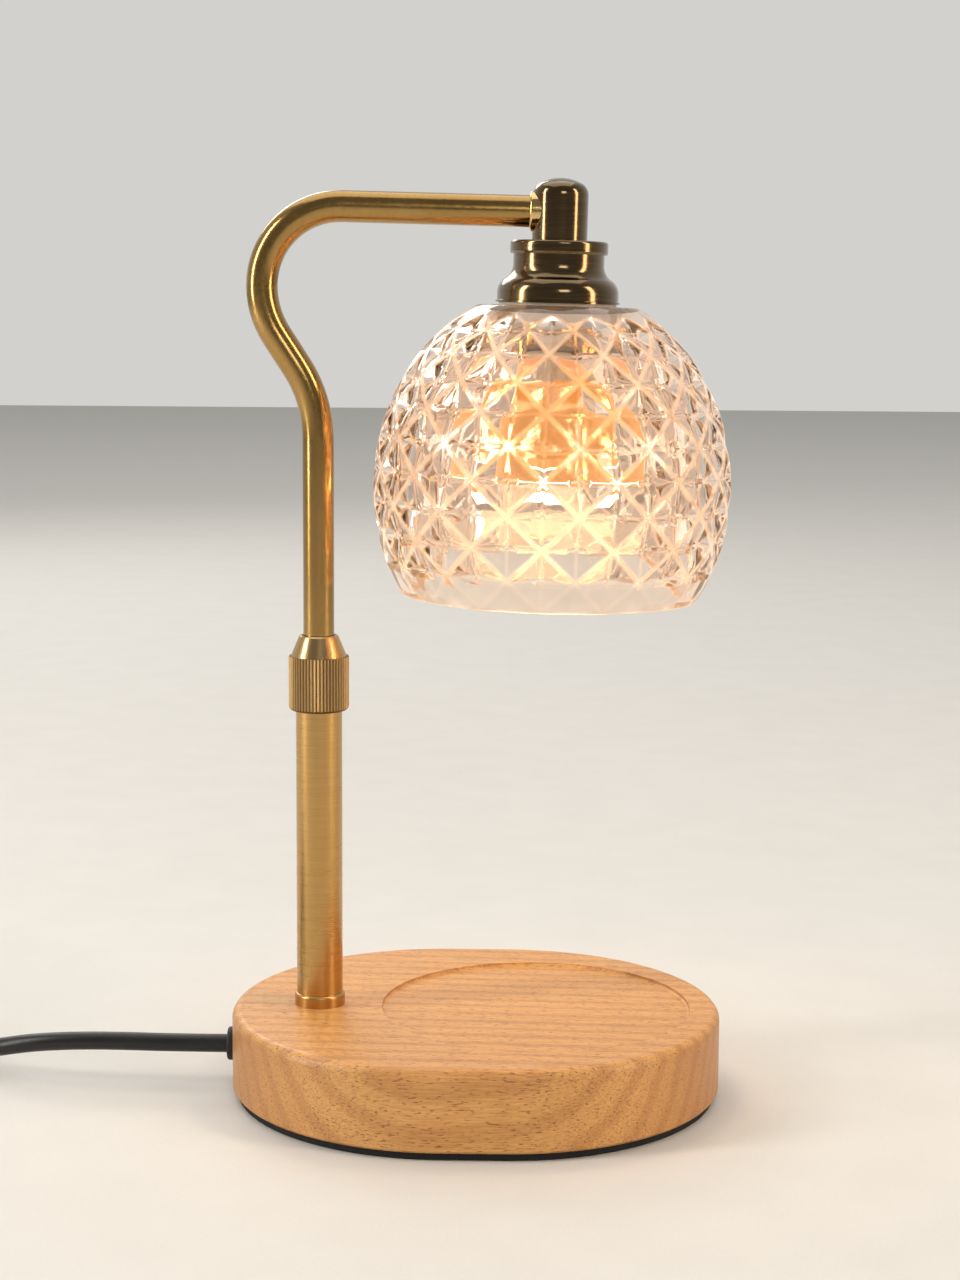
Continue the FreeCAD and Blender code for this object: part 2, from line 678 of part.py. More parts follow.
def make_lock():
    spigot_foot = POST_TOP - SPIGOT_L
    save("collet_bush", turned([
        (GUIDE_R, spigot_foot), (POST_BORE_R, spigot_foot), (POST_BORE_R, POST_TOP), (BUSH_R, POST_TOP),
        (BUSH_R, BUSH_TOP), (SEAT_R, BUSH_TOP), (GUIDE_R, SEAT_FOOT)], POST_X))

    collet = turned([
        (COLLET_BORE_R, COLLET_FOOT), (COLLET_BORE_R + 0.2, COLLET_FOOT), (COLLET_R, BUSH_TOP - 0.1),
        (COLLET_R, BUSH_TOP + 2.0), (COLLET_R - 1.3, COLLET_TOP), (COLLET_BORE_R, COLLET_TOP)], POST_X)
    slot = block(POST_X, POST_X + LOCK_R, -COLLET_SLOT / 2, COLLET_SLOT / 2, SEAT_FOOT, COLLET_TOP + THROUGH)
    save("clamp_collet", collet.cut(slot))

    knurl = toothed(LOCK_R, LOCK_TOOTH_D, LOCK_TEETH, POST_TOP, LOCK_KNURL_TOP)
    knurl.translate(V(POST_X, 0, 0))
    foot_round = on_circle(LOCK_R - LOCK_FOOT_DROP, POST_TOP + LOCK_FOOT_DROP, LOCK_FOOT_DROP, -45)
    knurl = knurl.common(turned([
        (0, POST_TOP), (LOCK_R - LOCK_FOOT_DROP, POST_TOP), foot_round + (LOCK_R, POST_TOP + LOCK_FOOT_DROP),
        (LOCK_R, LOCK_KNURL_TOP - 0.3), (LOCK_R - 0.3, LOCK_KNURL_TOP), (0, LOCK_KNURL_TOP)], POST_X))
    cone = turned([
        (0, LOCK_KNURL_TOP), (LOCK_CONE_R, LOCK_KNURL_TOP), (LOCK_MOUTH_R + 0.2, LOCK_TOP - 0.4),
        (LOCK_MOUTH_R - 0.2, LOCK_TOP), (0, LOCK_TOP)], POST_X)
    thread_r = BUSH_R + RUNNING
    cap_foot = COLLET_TOP + 0.4
    inside = turned([
        (0, POST_TOP - THROUGH), (thread_r, POST_TOP - THROUGH), (thread_r, LOCK_ROOM_TOP),
        (COLLET_R + 0.3, LOCK_ROOM_TOP), (COLLET_R - 1.1, cap_foot), (LOCK_BORE_R, cap_foot),
        (LOCK_BORE_R, LOCK_TOP + THROUGH), (0, LOCK_TOP + THROUGH)], POST_X)
    save("locking_nut", joined([knurl, cone]).cut(inside))


# Upper tube: one bent brass tube. A nylon bush runs on its foot between a brazed ring and a clip.

def tube_steps(foot_z, arm_run):
    return [BEND_START - foot_z, (SETBACK_R, SETBACK_TURN), SETBACK_RUN, (BOW_LOW_R, -SETBACK_TURN),
            (BOW_TOP_R, -90.0 - LEAN), arm_run]


def arm_length():
    """The straight arm's length from the end of the bow to the head's axis."""
    bow_end = bent_run(V(POST_X, 0, TUBE_FOOT), tube_steps(TUBE_FOOT, 0)[:-1])[1]
    return (POST_X + REACH - bow_end.x) / math.cos(math.radians(LEAN))


ARM_RUN = arm_length()
HEAD = bent_run(V(POST_X, 0, TUBE_FOOT), tube_steps(TUBE_FOOT, ARM_RUN))[1]


def make_upper_tube():
    arm_end = ARM_RUN - ARM_END_GAP
    outer = bent_run(V(POST_X, 0, TUBE_FOOT), tube_steps(TUBE_FOOT, arm_end))[0]
    below = TUBE_FOOT - THROUGH
    inner = bent_run(V(POST_X, 0, below), tube_steps(below, arm_end + THROUGH))[0]
    save("upper_tube", swept(outer, TUBE_R).cut(swept(inner, TUBE_BORE_R)))

    bush_foot = TUBE_FOOT + END_RING_H + SLIDE_PLAY
    clip_foot = bush_foot + SLIDE_BUSH_H + SLIDE_PLAY
    clip_top = clip_foot + CLIP_H
    save("tube_end_ring", ring(END_RING_R, TUBE_R, TUBE_FOOT, TUBE_FOOT + END_RING_H, POST_X))
    save("slide_bush", ring(SLIDE_BUSH_R, TUBE_R + RUNNING, bush_foot, bush_foot + SLIDE_BUSH_H, POST_X))
    clip = ring(END_RING_R, TUBE_R, clip_foot, clip_top, POST_X)
    gap = block(POST_X, POST_X + POST_R, -CLIP_GAP / 2, CLIP_GAP / 2, clip_foot - THROUGH, clip_top + THROUGH)
    save("tube_clip", clip.cut(gap))

    steps = tube_steps(LEAD_MEET, ARM_RUN - LEAD_TURN_R)
    steps += [(LEAD_TURN_R, -90.0), -HOLDER_TOP - LEAD_TURN_R]
    save("arm_lead", checked_tube("arm_lead", bent_run(V(POST_X, 0, LEAD_MEET), steps)[0], LEAD_R))


# Head: a domed elbow, and a spun cup that hides the lamp holder and carries the glass

def set_on_head(shape):
    """Moves a piece made about the head's own axis to its leaning place."""
    shape.rotate(V(0, 0, 0), V(0, 1, 0), LEAN)
    shape.translate(HEAD)
    return shape


def head_elbow():
    """A plug turned with a crowned dome, bored across for the arm and up for the nipple."""
    edge_x = ELBOW_R - DOME_EDGE_R
    apart = DOME_CROWN_R - DOME_EDGE_R
    crown_z = ELBOW_TOP - DOME_CROWN_R
    edge_z = crown_z + math.sqrt(apart ** 2 - edge_x ** 2)
    meet = math.degrees(math.atan2(edge_z - crown_z, edge_x))
    crown_meet = on_circle(0, crown_z, DOME_CROWN_R, meet)
    elbow = turned([
        (0, ELBOW_FOOT), (ELBOW_R, ELBOW_FOOT), (ELBOW_R, edge_z),
        on_circle(edge_x, edge_z, DOME_EDGE_R, meet / 2) + crown_meet,
        on_circle(0, crown_z, DOME_CROWN_R, (meet + 90) / 2) + (0, ELBOW_TOP)])
    elbow = elbow.cut(rod(NIPPLE_R, ELBOW_FOOT - THROUGH, ELBOW_ROOM_FOOT))
    elbow = elbow.cut(rod(ELBOW_ROOM_R, ELBOW_ROOM_FOOT, ELBOW_ROOM_TOP))
    return elbow.cut(bar(TUBE_R, V(-2 * ELBOW_R, 0, 0), V(0, 0, 0)))


def arm_ring():
    """A lock ring on the arm's threaded end, hollowed to sit on the round elbow."""
    seat_x = -math.sqrt(ELBOW_R ** 2 - ARM_RING_R ** 2)
    face_x = seat_x - ARM_RING_L
    lock_ring = bar(ARM_RING_R, V(face_x, 0, 0), V(seat_x, 0, 0))
    rim = [e for e in lock_ring.Edges if e.BoundBox.XMax < face_x + 1e-4]
    lock_ring = lock_ring.makeFillet(ARM_RING_EDGE_R, rim)
    lock_ring = lock_ring.cut(bar(TUBE_R, V(face_x - THROUGH, 0, 0), V(0, 0, 0)))
    return lock_ring.cut(rod(ELBOW_R, -2 * ELBOW_R, 2 * ELBOW_R))


def flare(shift):
    """The cup's side below its neck: out and down in two equal arcs, drawn in by shift."""
    out = CUP_MOUTH_R - CUP_NECK_R
    down = CUP_FLARE_TOP - CUP_FLARE_FOOT
    turn = 2 * math.degrees(math.atan(out / down))
    r = down / (2 * math.sin(math.radians(turn)))
    hollow = (CUP_NECK_R + r, CUP_FLARE_TOP, r + shift)
    swell = (CUP_MOUTH_R - r, CUP_FLARE_FOOT, r - shift)
    return [(CUP_NECK_R - shift, CUP_FLARE_TOP),
            on_circle(*hollow, 180 + turn / 2) + on_circle(*hollow, 180 + turn),
            on_circle(*swell, turn / 2) + (CUP_MOUTH_R - shift, CUP_FLARE_FOOT)]


def head_cup():
    edge_r = CUP_FLANGE_R - CUP_EDGE_R
    edge_z = ELBOW_FOOT - CUP_EDGE_R
    outer = [(0, ELBOW_FOOT), (edge_r, ELBOW_FOOT),
             on_circle(edge_r, edge_z, CUP_EDGE_R, 45) + (CUP_FLANGE_R, edge_z),
             (CUP_FLANGE_R, CUP_FLANGE_FOOT + 0.8), (CUP_FLANGE_R - 0.4, CUP_FLANGE_FOOT),
             (CUP_NECK_R, CUP_FLANGE_FOOT)]
    lip_r = CUP_MOUTH_R + CUP_LIP
    lip_top = CUP_FOOT + 0.6
    outer += flare(0.0)
    outer += [(CUP_MOUTH_R, lip_top + 0.2), (lip_r, lip_top), (lip_r, CUP_FOOT), (0, CUP_FOOT)]
    inner = [(0, CUP_PLATE_FOOT), (CUP_NECK_R - CUP_WALL, CUP_PLATE_FOOT)] + flare(CUP_WALL)
    inner += [(CUP_MOUTH_R - CUP_WALL, CUP_FOOT - THROUGH), (0, CUP_FOOT - THROUGH)]
    return turned(outer).cut(turned(inner)).cut(rod(NIPPLE_R, CUP_FOOT, 0))


def holder_sleeve():
    sleeve = rod(SLEEVE_R, SLEEVE_FOOT, CUP_PLATE_FOOT)
    sleeve = sleeve.cut(rod(SLEEVE_BORE_R, SLEEVE_FOOT - THROUGH, SLEEVE_PLATE_FOOT))
    sleeve = sleeve.cut(rod(NIPPLE_R, SLEEVE_FOOT, 0))
    for side in (-1, 1):
        sleeve = sleeve.cut(rod(HOLDER_SCREW_R, SLEEVE_FOOT, 0, 0, side * HOLDER_SCREW_Y))
    return sleeve


def make_head():
    save("head_elbow", set_on_head(head_elbow()))
    save("arm_ring", set_on_head(arm_ring()))
    save("head_nipple", set_on_head(ring(NIPPLE_R, HEAD_NIPPLE_BORE_R, HEAD_NIPPLE_FOOT, HEAD_NIPPLE_TOP)))
    nut = hexagon(HEAD_NUT_FLAT, HEAD_NUT_FOOT, SLEEVE_PLATE_FOOT)
    save("head_nut", set_on_head(nut.cut(rod(NIPPLE_R, HEAD_NIPPLE_FOOT, 0))))
    save("head_cup", set_on_head(head_cup()))
    save("holder_sleeve", set_on_head(holder_sleeve()))


# Glass: a pressed shade whose side is an ellipse, clamped to the cup by a ring nut and two gaskets

def glass_body(shift, z_top, z_foot):
    """The solid inside the shade's ellipse, drawn in by shift, between two heights."""
    a = GLASS_A - shift
    b = GLASS_B - shift
    centre = V(0, 0, GLASS_MID)
    ellipse = Part.Ellipse(centre + V(0, 0, b), centre + V(a, 0, 0), centre)
    top_turn = math.acos((z_top - GLASS_MID) / b)
    foot_turn = math.acos((z_foot - GLASS_MID) / b)
    side = Part.ArcOfEllipse(ellipse, top_turn, foot_turn).toShape()
    r_top = a * math.sin(top_turn)
    r_foot = a * math.sin(foot_turn)
    corners = [V(r_foot, 0, z_foot), V(0, 0, z_foot), V(0, 0, z_top), V(r_top, 0, z_top)]
    lines = [Part.LineSegment(p, q).toShape() for p, q in zip(corners, corners[1:])]
    return Part.Face(Part.Wire([side] + lines)).revolve(V(0, 0, 0), V(0, 0, 1), 360)


def make_glass():
    outer = softened(glass_body(0.0, GLASS_TOP, GLASS_RIM), GLASS_SHOULDER_R, GLASS_TOP)
    outer = softened(outer, GLASS_RIM_R, GLASS_RIM)
    roof = GLASS_TOP - GLASS_WALL
    shade = outer.cut(glass_body(GLASS_WALL, roof, GLASS_RIM - THROUGH))
    save("glass_shade", set_on_head(shade.cut(rod(GLASS_HOLE_R, roof - THROUGH, GLASS_TOP + THROUGH))))
    save("upper_gasket", set_on_head(ring(UPPER_GASKET_R, GLASS_HOLE_R, GLASS_TOP, CUP_FOOT)))
    nut_top = roof - LOWER_GASKET_T
    save("lower_gasket", set_on_head(ring(LOWER_GASKET_R, GLASS_HOLE_R, nut_top, roof)))
    ring_nut = toothed(RING_NUT_R, RING_NUT_TOOTH_D, RING_NUT_TEETH, nut_top - RING_NUT_H, nut_top)
    save("shade_ring", set_on_head(ring_nut.cut(rod(SLEEVE_R, SLEEVE_FOOT, nut_top + THROUGH))))


# Lamp holder: a ceramic body with two spring contacts, screwed up into the sleeve

def make_holder():
    body = rod(HOLDER_R, HOLDER_FOOT, HOLDER_TOP)
    contacts = []
    screws = []
    for side in (-1, 1):
        x = side * PIN_PITCH / 2
        y = side * HOLDER_SCREW_Y
        body = body.cut(rod(PIN_SLOT_R, HOLDER_FOOT - THROUGH, PIN_SLOT_TOP, x))
        body = body.cut(rod(HOLDER_SCREW_R, HOLDER_FOOT - THROUGH, HOLDER_TOP + THROUGH, 0, y))
        body = body.cut(rod(HOLDER_HEAD_R + SCREW_ROOM, HOLDER_FOOT - THROUGH, HOLDER_HEAD_TOP, 0, y))
        contacts.append(block(x - CONTACT_L / 2, x + CONTACT_L / 2, -CONTACT_W / 2, CONTACT_W / 2,
                              PIN_TOP, CONTACT_TOP))
        screws.append(joined([rod(HOLDER_SCREW_R, HOLDER_HEAD_TOP, CUP_PLATE_FOOT, 0, y),
                              rod(HOLDER_HEAD_R, HOLDER_HEAD_TOP - HOLDER_HEAD_H, HOLDER_HEAD_TOP, 0, y)]))
    save("lamp_holder", set_on_head(body))
    save("holder_contacts", set_on_head(group(contacts)))
    save("holder_screws", set_on_head(group(screws)))


# Reflector bulb: base with two headed pins, glass reflector, capsule and front lens

def make_bulb():
    neck = turned([(0, HOLDER_FOOT), (HOLDER_R, HOLDER_FOOT), (HOLDER_R, BULB_NECK_FOOT + 1),
                   (BULB_NECK_R, BULB_NECK_FOOT), (0, BULB_NECK_FOOT)])
    save("bulb_base", set_on_head(neck.cut(rod(CAPSULE_R, BULB_NECK_FOOT - THROUGH, CAPSULE_TOP))))
    pins = []
    for side in (-1, 1):
        x = side * PIN_PITCH / 2
        pins.append(joined([rod(PIN_R, HOLDER_FOOT, PIN_HEAD_FOOT, x),
                            rod(PIN_HEAD_R, PIN_HEAD_FOOT, PIN_TOP, x)]))
    save("bulb_pins", set_on_head(group(pins)))

    mouth_r = BULB_R - BULB_WALL
    outer = [(0, BULB_NECK_FOOT), (BULB_NECK_R, BULB_NECK_FOOT), BULB_SIDE + (BULB_R - 0.6, BULB_RIM + 1.0),
             (BULB_R, BULB_RIM), (BULB_R, LENS_TOP), (0, LENS_TOP)]
    inner = [(0, BULB_NECK_FOOT + THROUGH), (BULB_THROAT_R, BULB_NECK_FOOT + THROUGH),
             (BULB_THROAT_R, BULB_THROAT_FOOT), BULB_INNER_SIDE + (mouth_r, BULB_RIM - 0.2),
             (mouth_r, BULB_FACE), (0, BULB_FACE)]
    save("bulb_reflector", set_on_head(turned(outer).cut(turned(inner))))
    lens = turned([(0, LENS_TOP), (LENS_R, LENS_TOP), (LENS_R, LENS_EDGE),
                   round_cap(LENS_R, LENS_EDGE, LENS_CROWN)])
    save("bulb_lens", set_on_head(lens))
    cap_edge = CAPSULE_FOOT + CAPSULE_R
    capsule = turned([(0, CAPSULE_TOP), (CAPSULE_R, CAPSULE_TOP), (CAPSULE_R, cap_edge),
                      round_cap(CAPSULE_R, cap_edge, CAPSULE_FOOT)])
    save("bulb_capsule", set_on_head(capsule))


# In-line dimmer: a moulded case in two halves, and a thumbwheel that turns the resistor on its board

def dimmer_case():
    x = DIMMER_X
    y = DIMMER_Y
    case = rounded_plate(DIMMER_L, DIMMER_W, DIMMER_CORNER_R, 0.0, DIMMER_H, x, y)
    case = softened(softened(case, DIMMER_TOP_R, DIMMER_H), DIMMER_FOOT_R, 0.0)
    room = rounded_plate(DIMMER_L - 2 * DIMMER_WALL, DIMMER_W - 2 * DIMMER_WALL, DIMMER_CORNER_R - DIMMER_WALL,
                         DIMMER_WALL, DIMMER_H - DIMMER_WALL, x, y)
    room = room.cut(group([rod(DIMMER_POST_R, 0, DIMMER_H, x + dx, y + dy) for dx, dy in DIMMER_SCREWS]))
    case = case.cut(room)
    slot = block(-WHEEL_SLOT_L / 2, WHEEL_SLOT_L / 2, -WHEEL_SLOT_W / 2, WHEEL_SLOT_W / 2,
                 DIMMER_H - 2 * DIMMER_WALL, DIMMER_H + THROUGH)
    slot.translate(V(x, y, 0))
    case = case.cut(slot)
    for side in (-1, 1):
        start = V(x + side * (DIMMER_L / 2 - 2 * DIMMER_WALL), y, DIMMER_CORD_Z)
        case = case.cut(bar(CORD_R, start, start + V(side * 4 * DIMMER_WALL, 0, 0)))
    for dx, dy in DIMMER_SCREWS:
        case = case.cut(rod(DIMMER_SCREW_R, -THROUGH, DIMMER_SCREW_TIP, x + dx, y + dy))
        case = case.cut(rod(DIMMER_HEAD_R + SCREW_ROOM, -THROUGH, DIMMER_WALL, x + dx, y + dy))
    return case


def ribbed_boot(tip_r, root_r, length, grooves):
    """A tapered strain relief along X, its tip at the origin, with ring grooves."""
    boot = Part.makeCone(tip_r, root_r, length, V(0, 0, 0), V(1, 0, 0))
    pitch = length / (grooves + 1)
    for k in range(grooves):
        groove_x = pitch * (k + 0.7)
        floor_r = tip_r + (root_r - tip_r) * groove_x / length - BOOT_GROOVE_D
        cutter = bar(2 * root_r, V(groove_x, 0, 0), V(groove_x + 0.4 * pitch, 0, 0))
        boot = boot.cut(cutter.cut(bar(floor_r, V(0, 0, 0), V(length, 0, 0))))
    return boot


def make_dimmer():
    x = DIMMER_X
    y = DIMMER_Y
    case = dimmer_case()
    upper = block(x - DIMMER_L, x + DIMMER_L, y - DIMMER_W, y + DIMMER_W, DIMMER_SPLIT, 2 * DIMMER_H)
    save("dimmer_base", case.cut(upper))
    save("dimmer_cover", case.common(upper))
    screws = []
    for dx, dy in DIMMER_SCREWS:
        screws.append(joined([rod(DIMMER_HEAD_R, DIMMER_HEAD_FOOT, DIMMER_WALL, x + dx, y + dy),
                              rod(DIMMER_SCREW_R, DIMMER_WALL, DIMMER_SCREW_TIP, x + dx, y + dy)]))
    save("dimmer_screws", group(screws))
    board_top = DIMMER_WALL + BOARD_T
    save("dimmer_board", block(x - BOARD_L / 2, x + BOARD_L / 2, y - BOARD_W / 2, y + BOARD_W / 2,
                               DIMMER_WALL, board_top))
    resistor = block(x - RESISTOR_L / 2, x + RESISTOR_L / 2, y + RESISTOR_NEAR, y + RESISTOR_FAR,
                     board_top, RESISTOR_TOP)
    spindle_hole = bar(SPINDLE_R + SPINDLE_ROOM, V(x, y, WHEEL_Z), V(x, y + DIMMER_W / 2, WHEEL_Z))
    save("dimmer_resistor", resistor.cut(spindle_hole))

    wheel = toothed(WHEEL_R, WHEEL_TOOTH_D, WHEEL_TEETH, -WHEEL_W / 2, WHEEL_W / 2)
    wheel = joined([wheel, rod(SPINDLE_R, WHEEL_W / 2, SPINDLE_END)])
    wheel.rotate(V(0, 0, 0), V(1, 0, 0), -90)
    wheel.translate(V(x, y, WHEEL_Z))
    save("dimmer_wheel", wheel)

    boots = []
    for side in (-1, 1):
        boot = ribbed_boot(BOOT_TIP_R, DIMMER_BOOT_R, DIMMER_BOOT_L, 5)
        neck = bar(CORD_R, V(DIMMER_BOOT_L, 0, 0), V(DIMMER_BOOT_L + DIMMER_WALL, 0, 0))
        boot = joined([boot, neck])
        if side > 0:
            boot.rotate(V(0, 0, 0), V(0, 0, 1), 180)
        boot.translate(V(x + side * DIMMER_END, y, DIMMER_CORD_Z))
        boots.append(boot)
    save("dimmer_boots", group(boots))


# Coil: the put-away length in one unbroken tube, spiralling in on the table and out again on top

def coil_radius(quarter):
    inward = min(quarter, COIL_QUARTERS_IN)
    outward = max(quarter - COIL_QUARTERS_IN, 0)
    return COIL_R - COIL_PITCH * (inward - outward) / 4


def coil_height(quarter):
    """Level, but for the climb in the half turn where the spiral turns back."""
    climb = min(max((quarter - COIL_QUARTERS_IN + 1) / 2, 0.0), 1.0)
    return CORD_R + COIL_LAYER_H * (1 - math.cos(math.pi * climb)) / 2


def coil_point(quarter):
    angle = math.pi + quarter * math.pi / 2
    r = coil_radius(quarter)
    return V(COIL_X + r * math.cos(angle), COIL_Y + r * math.sin(angle), coil_height(quarter))


def coil_heading(quarter):
    """Along the turn, and rising as the height does there."""
    angle = math.pi + quarter * math.pi / 2
    step = 0.01
    rise = (coil_height(quarter + step) - coil_height(quarter - step)) / (2 * step)
    run = coil_radius(quarter) * math.pi / 2
    return V(-math.sin(angle) * run, math.cos(angle) * run, rise).normalize()


def least_self_gap(edges):
    """The least gap between stretches of the tube that lie about half a turn or more apart."""
    spacing = 2.0
    points = []
    for edge in edges:
        count = max(3, int(edge.Length / spacing))
        span = edge.LastParameter - edge.FirstParameter
        points += [edge.valueAt(edge.FirstParameter + span * k / count) for k in range(count)]
    apart = int(math.pi * COIL_R / 2 / spacing)
    least = min(p.distanceToPoint(q) for i, p in enumerate(points) for q in points[i + apart:])
    return least - CORD_D


def make_coil():
    start = coil_point(0)
    edges = [Part.LineSegment(start - coil_heading(0) * CORD_D, start).toShape()]
    for k in range(COIL_QUARTERS):
        edges += biarc(coil_point(k), coil_heading(k), coil_point(k + 1), coil_heading(k + 1))
    end = coil_point(COIL_QUARTERS)
    edges.append(Part.LineSegment(end, end + coil_heading(COIL_QUARTERS) * CORD_D).toShape())
    print("cord_coil least gap to itself", round(least_self_gap(edges), 2))
    save("cord_coil", checked_tube("cord_coil", edges, CORD_R))


# Free cord from the lamp to the dimmer, and from the dimmer through the coil to the plug

TAIL_START = coil_point(COIL_QUARTERS) + coil_heading(COIL_QUARTERS) * CORD_D
TAIL_BEND = TAIL_START + V(PLUG_RUN, 0, 0)
PLUG_HEADING = V(math.cos(math.radians(PLUG_TURN)), math.sin(math.radians(PLUG_TURN)), 0)
TAIL_END = TAIL_BEND + PLUG_HEADING * PLUG_RUN


def make_cords():
    save("power_cord", checked_tube("power_cord", cord_edges("power_cord", LAMP_ROUTE), CORD_R))
    save("cord_lead_in", checked_tube("cord_lead_in", cord_edges("cord_lead_in", LEAD_IN_ROUTE), CORD_R))
    make_coil()
    tail = [tuple(TAIL_START), tuple(TAIL_BEND), tuple(TAIL_END)]
    save("cord_to_plug", checked_tube("cord_to_plug", cord_edges("cord_to_plug", tail), CORD_R))


# Plug: a moulded body with its strain relief in one piece, and two flat blades

def make_plug():
    half = TAIL_END.z
    nose = PLUG_BOOT_L + PLUG_L
    boot = ribbed_boot(BOOT_TIP_R, PLUG_BOOT_R, PLUG_BOOT_L, 5)
    body = rounded_plate(PLUG_L, PLUG_W, PLUG_CORNER_R, -half, half, PLUG_BOOT_L + PLUG_L / 2)
    body = softened(softened(body, PLUG_EDGE_R, half), PLUG_EDGE_R, -half)
    tip_x = nose + BLADE_L
    hole_x = tip_x - BLADE_HOLE_BACK
    blades = []
    for side in (-1, 1):
        grip_y = side * (PLUG_W / 2 - GRIP_D + GRIP_R)
        body = body.cut(rod(GRIP_R, -half - THROUGH, half + THROUGH, GRIP_X, grip_y))
        y = side * BLADE_PITCH / 2
        blade = block(nose - BLADE_ROOT, tip_x, y - BLADE_T / 2, y + BLADE_T / 2, -BLADE_H / 2, BLADE_H / 2)
        body = body.cut(blade)
        tip = [e for e in blade.Edges if e.BoundBox.XMin > tip_x - 1e-4 and e.BoundBox.ZLength < 1e-4]
        blade = blade.makeChamfer(BLADE_TIP_CHAMFER, tip)
        blades.append(blade.cut(bar(BLADE_HOLE_R, V(hole_x, y - BLADE_T, 0), V(hole_x, y + BLADE_T, 0))))
    plug = joined([boot, body])
    pair = group(blades)
    for piece in (plug, pair):
        piece.rotate(V(0, 0, 0), V(0, 0, 1), PLUG_TURN)
        piece.translate(TAIL_END)
    save("plug_body", plug)
    save("plug_blades", pair)


os.makedirs("parts", exist_ok=True)
make_base()
make_cord_entry()
make_post()
make_lock()
make_upper_tube()
make_head()
make_glass()
make_holder()
make_bulb()
make_dimmer()
make_cords()
make_plug()
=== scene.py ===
import math

import bpy
from mathutils import Matrix, Vector


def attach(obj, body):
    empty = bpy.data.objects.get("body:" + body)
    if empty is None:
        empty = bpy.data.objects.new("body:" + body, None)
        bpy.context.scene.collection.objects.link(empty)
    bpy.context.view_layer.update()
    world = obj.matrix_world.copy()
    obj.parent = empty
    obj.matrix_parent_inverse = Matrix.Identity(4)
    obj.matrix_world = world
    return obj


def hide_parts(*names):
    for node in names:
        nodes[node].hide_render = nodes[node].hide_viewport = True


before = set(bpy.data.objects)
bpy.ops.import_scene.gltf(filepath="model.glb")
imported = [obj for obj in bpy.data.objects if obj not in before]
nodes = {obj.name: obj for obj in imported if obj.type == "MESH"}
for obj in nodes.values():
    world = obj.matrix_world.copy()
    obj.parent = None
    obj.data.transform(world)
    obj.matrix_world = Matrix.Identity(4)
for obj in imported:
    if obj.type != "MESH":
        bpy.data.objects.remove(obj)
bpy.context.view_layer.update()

scene = bpy.context.scene
scene.view_settings.view_transform = "Standard"


# Camera: it stands in front of the lamp, a little above the shade's foot, and looks slightly down.
# Its place, tilt and focal length were fitted to the base's ellipses, the tubes and the shade.
CAMERA_SPOT = (0.0129, -0.7619, 0.2583)
CAMERA_DOWN = 8.107  # degrees
CAMERA_TILT = math.radians(90.0 - CAMERA_DOWN)
CAMERA_YAW = math.radians(0.927)
CAMERA_ROLL = math.radians(0.367)
CAMERA_LENS = 67.1  # mm

camera = bpy.data.objects.new("camera", bpy.data.cameras.new("camera"))
camera.data.lens = CAMERA_LENS
camera.matrix_world = (Matrix.Translation(CAMERA_SPOT) @ Matrix.Rotation(CAMERA_YAW, 4, "Z")
                       @ Matrix.Rotation(CAMERA_TILT, 4, "X") @ Matrix.Rotation(CAMERA_ROLL, 4, "Z"))
scene.collection.objects.link(camera)
scene.camera = camera


# Studio: a pale painted floor, and a room that is pale behind the lamp and darker on the camera's side,
# so that the brass has dark bands to show. A tall strip of light on each side draws the long highlights.
ROOM_BEHIND = "D2D1CE"
ROOM_BEFORE = "7C7B79"
FLOOR_PALE = "DEDCD8"
FLOOR_DARK = "D9D7D3"
FLOOR_HALF = 5.0
ROOM_TURN = (-0.55, 0.75)  # the room grows pale between these two values of a direction's y
AIM = Vector((-0.02, 0.0, 0.14))
MM = 1000.0  # in a metre
TONE_SPAN = (0.7, 1.3)  # two noises added together mostly lie in this
CLOUDS_PER_M = 33.0  # slow changes of tone, about 30 mm across, that any real surface has
# Each light's name, place, width and height in metres, watts and colour
LIGHTS = [
    ("left_strip", (-1.20, -0.38, 0.62), (0.18, 1.12), 11.0, "FFFBF4"),
    ("right_strip", (1.15, -0.46, 0.62), (0.22, 1.12), 8.5, "FFE8CC"),
    ("overhead_box", (-0.20, 0.70, 3.40), (3.60, 3.60), 47.0, "FFFDF8"),
    ("front_box", (0.45, -2.10, 0.95), (0.70, 0.50), 6.0, "FFFDFA"),
    ("back_box", (-0.70, 1.60, 1.10), (0.90, 0.60), 7.0, "FFFAF2"),
]


def linear(code):
    """The linear colour of an sRGB hex value."""
    shares = [int(code[i:i + 2], 16) / 255 for i in (0, 2, 4)]
    return tuple([c / 12.92 if c <= 0.04045 else ((c + 0.055) / 1.055) ** 2.4 for c in shares] + [1.0])


def wire(node, **sockets):
    """Sets a node's inputs. Each is a value, or the output that feeds it; _2 means input number 2."""
    for key, value in sockets.items():
        socket = node.inputs[int(key[1:]) if key[1:].isdigit() else key.replace("_", " ")]
        if isinstance(value, bpy.types.NodeSocket):
            node.id_data.links.new(value, socket)
        else:
            socket.default_value = value


def add(mat, kind, settings=None, **sockets):
    """Adds a node to a material or the room, with its own settings, and wires its inputs."""
    node = mat.node_tree.nodes.new("ShaderNode" + kind)
    for key, value in (settings or {}).items():
        setattr(node, key, value)
    wire(node, **sockets)
    return node


def new_finish(name, **look):
    """A new material and its shader, with the values that are the same all over the surface."""
    mat = bpy.data.materials.new(name)
    mat.use_nodes = True
    shader = mat.node_tree.nodes["Principled BSDF"]
    wire(shader, **look)
    return mat, shader


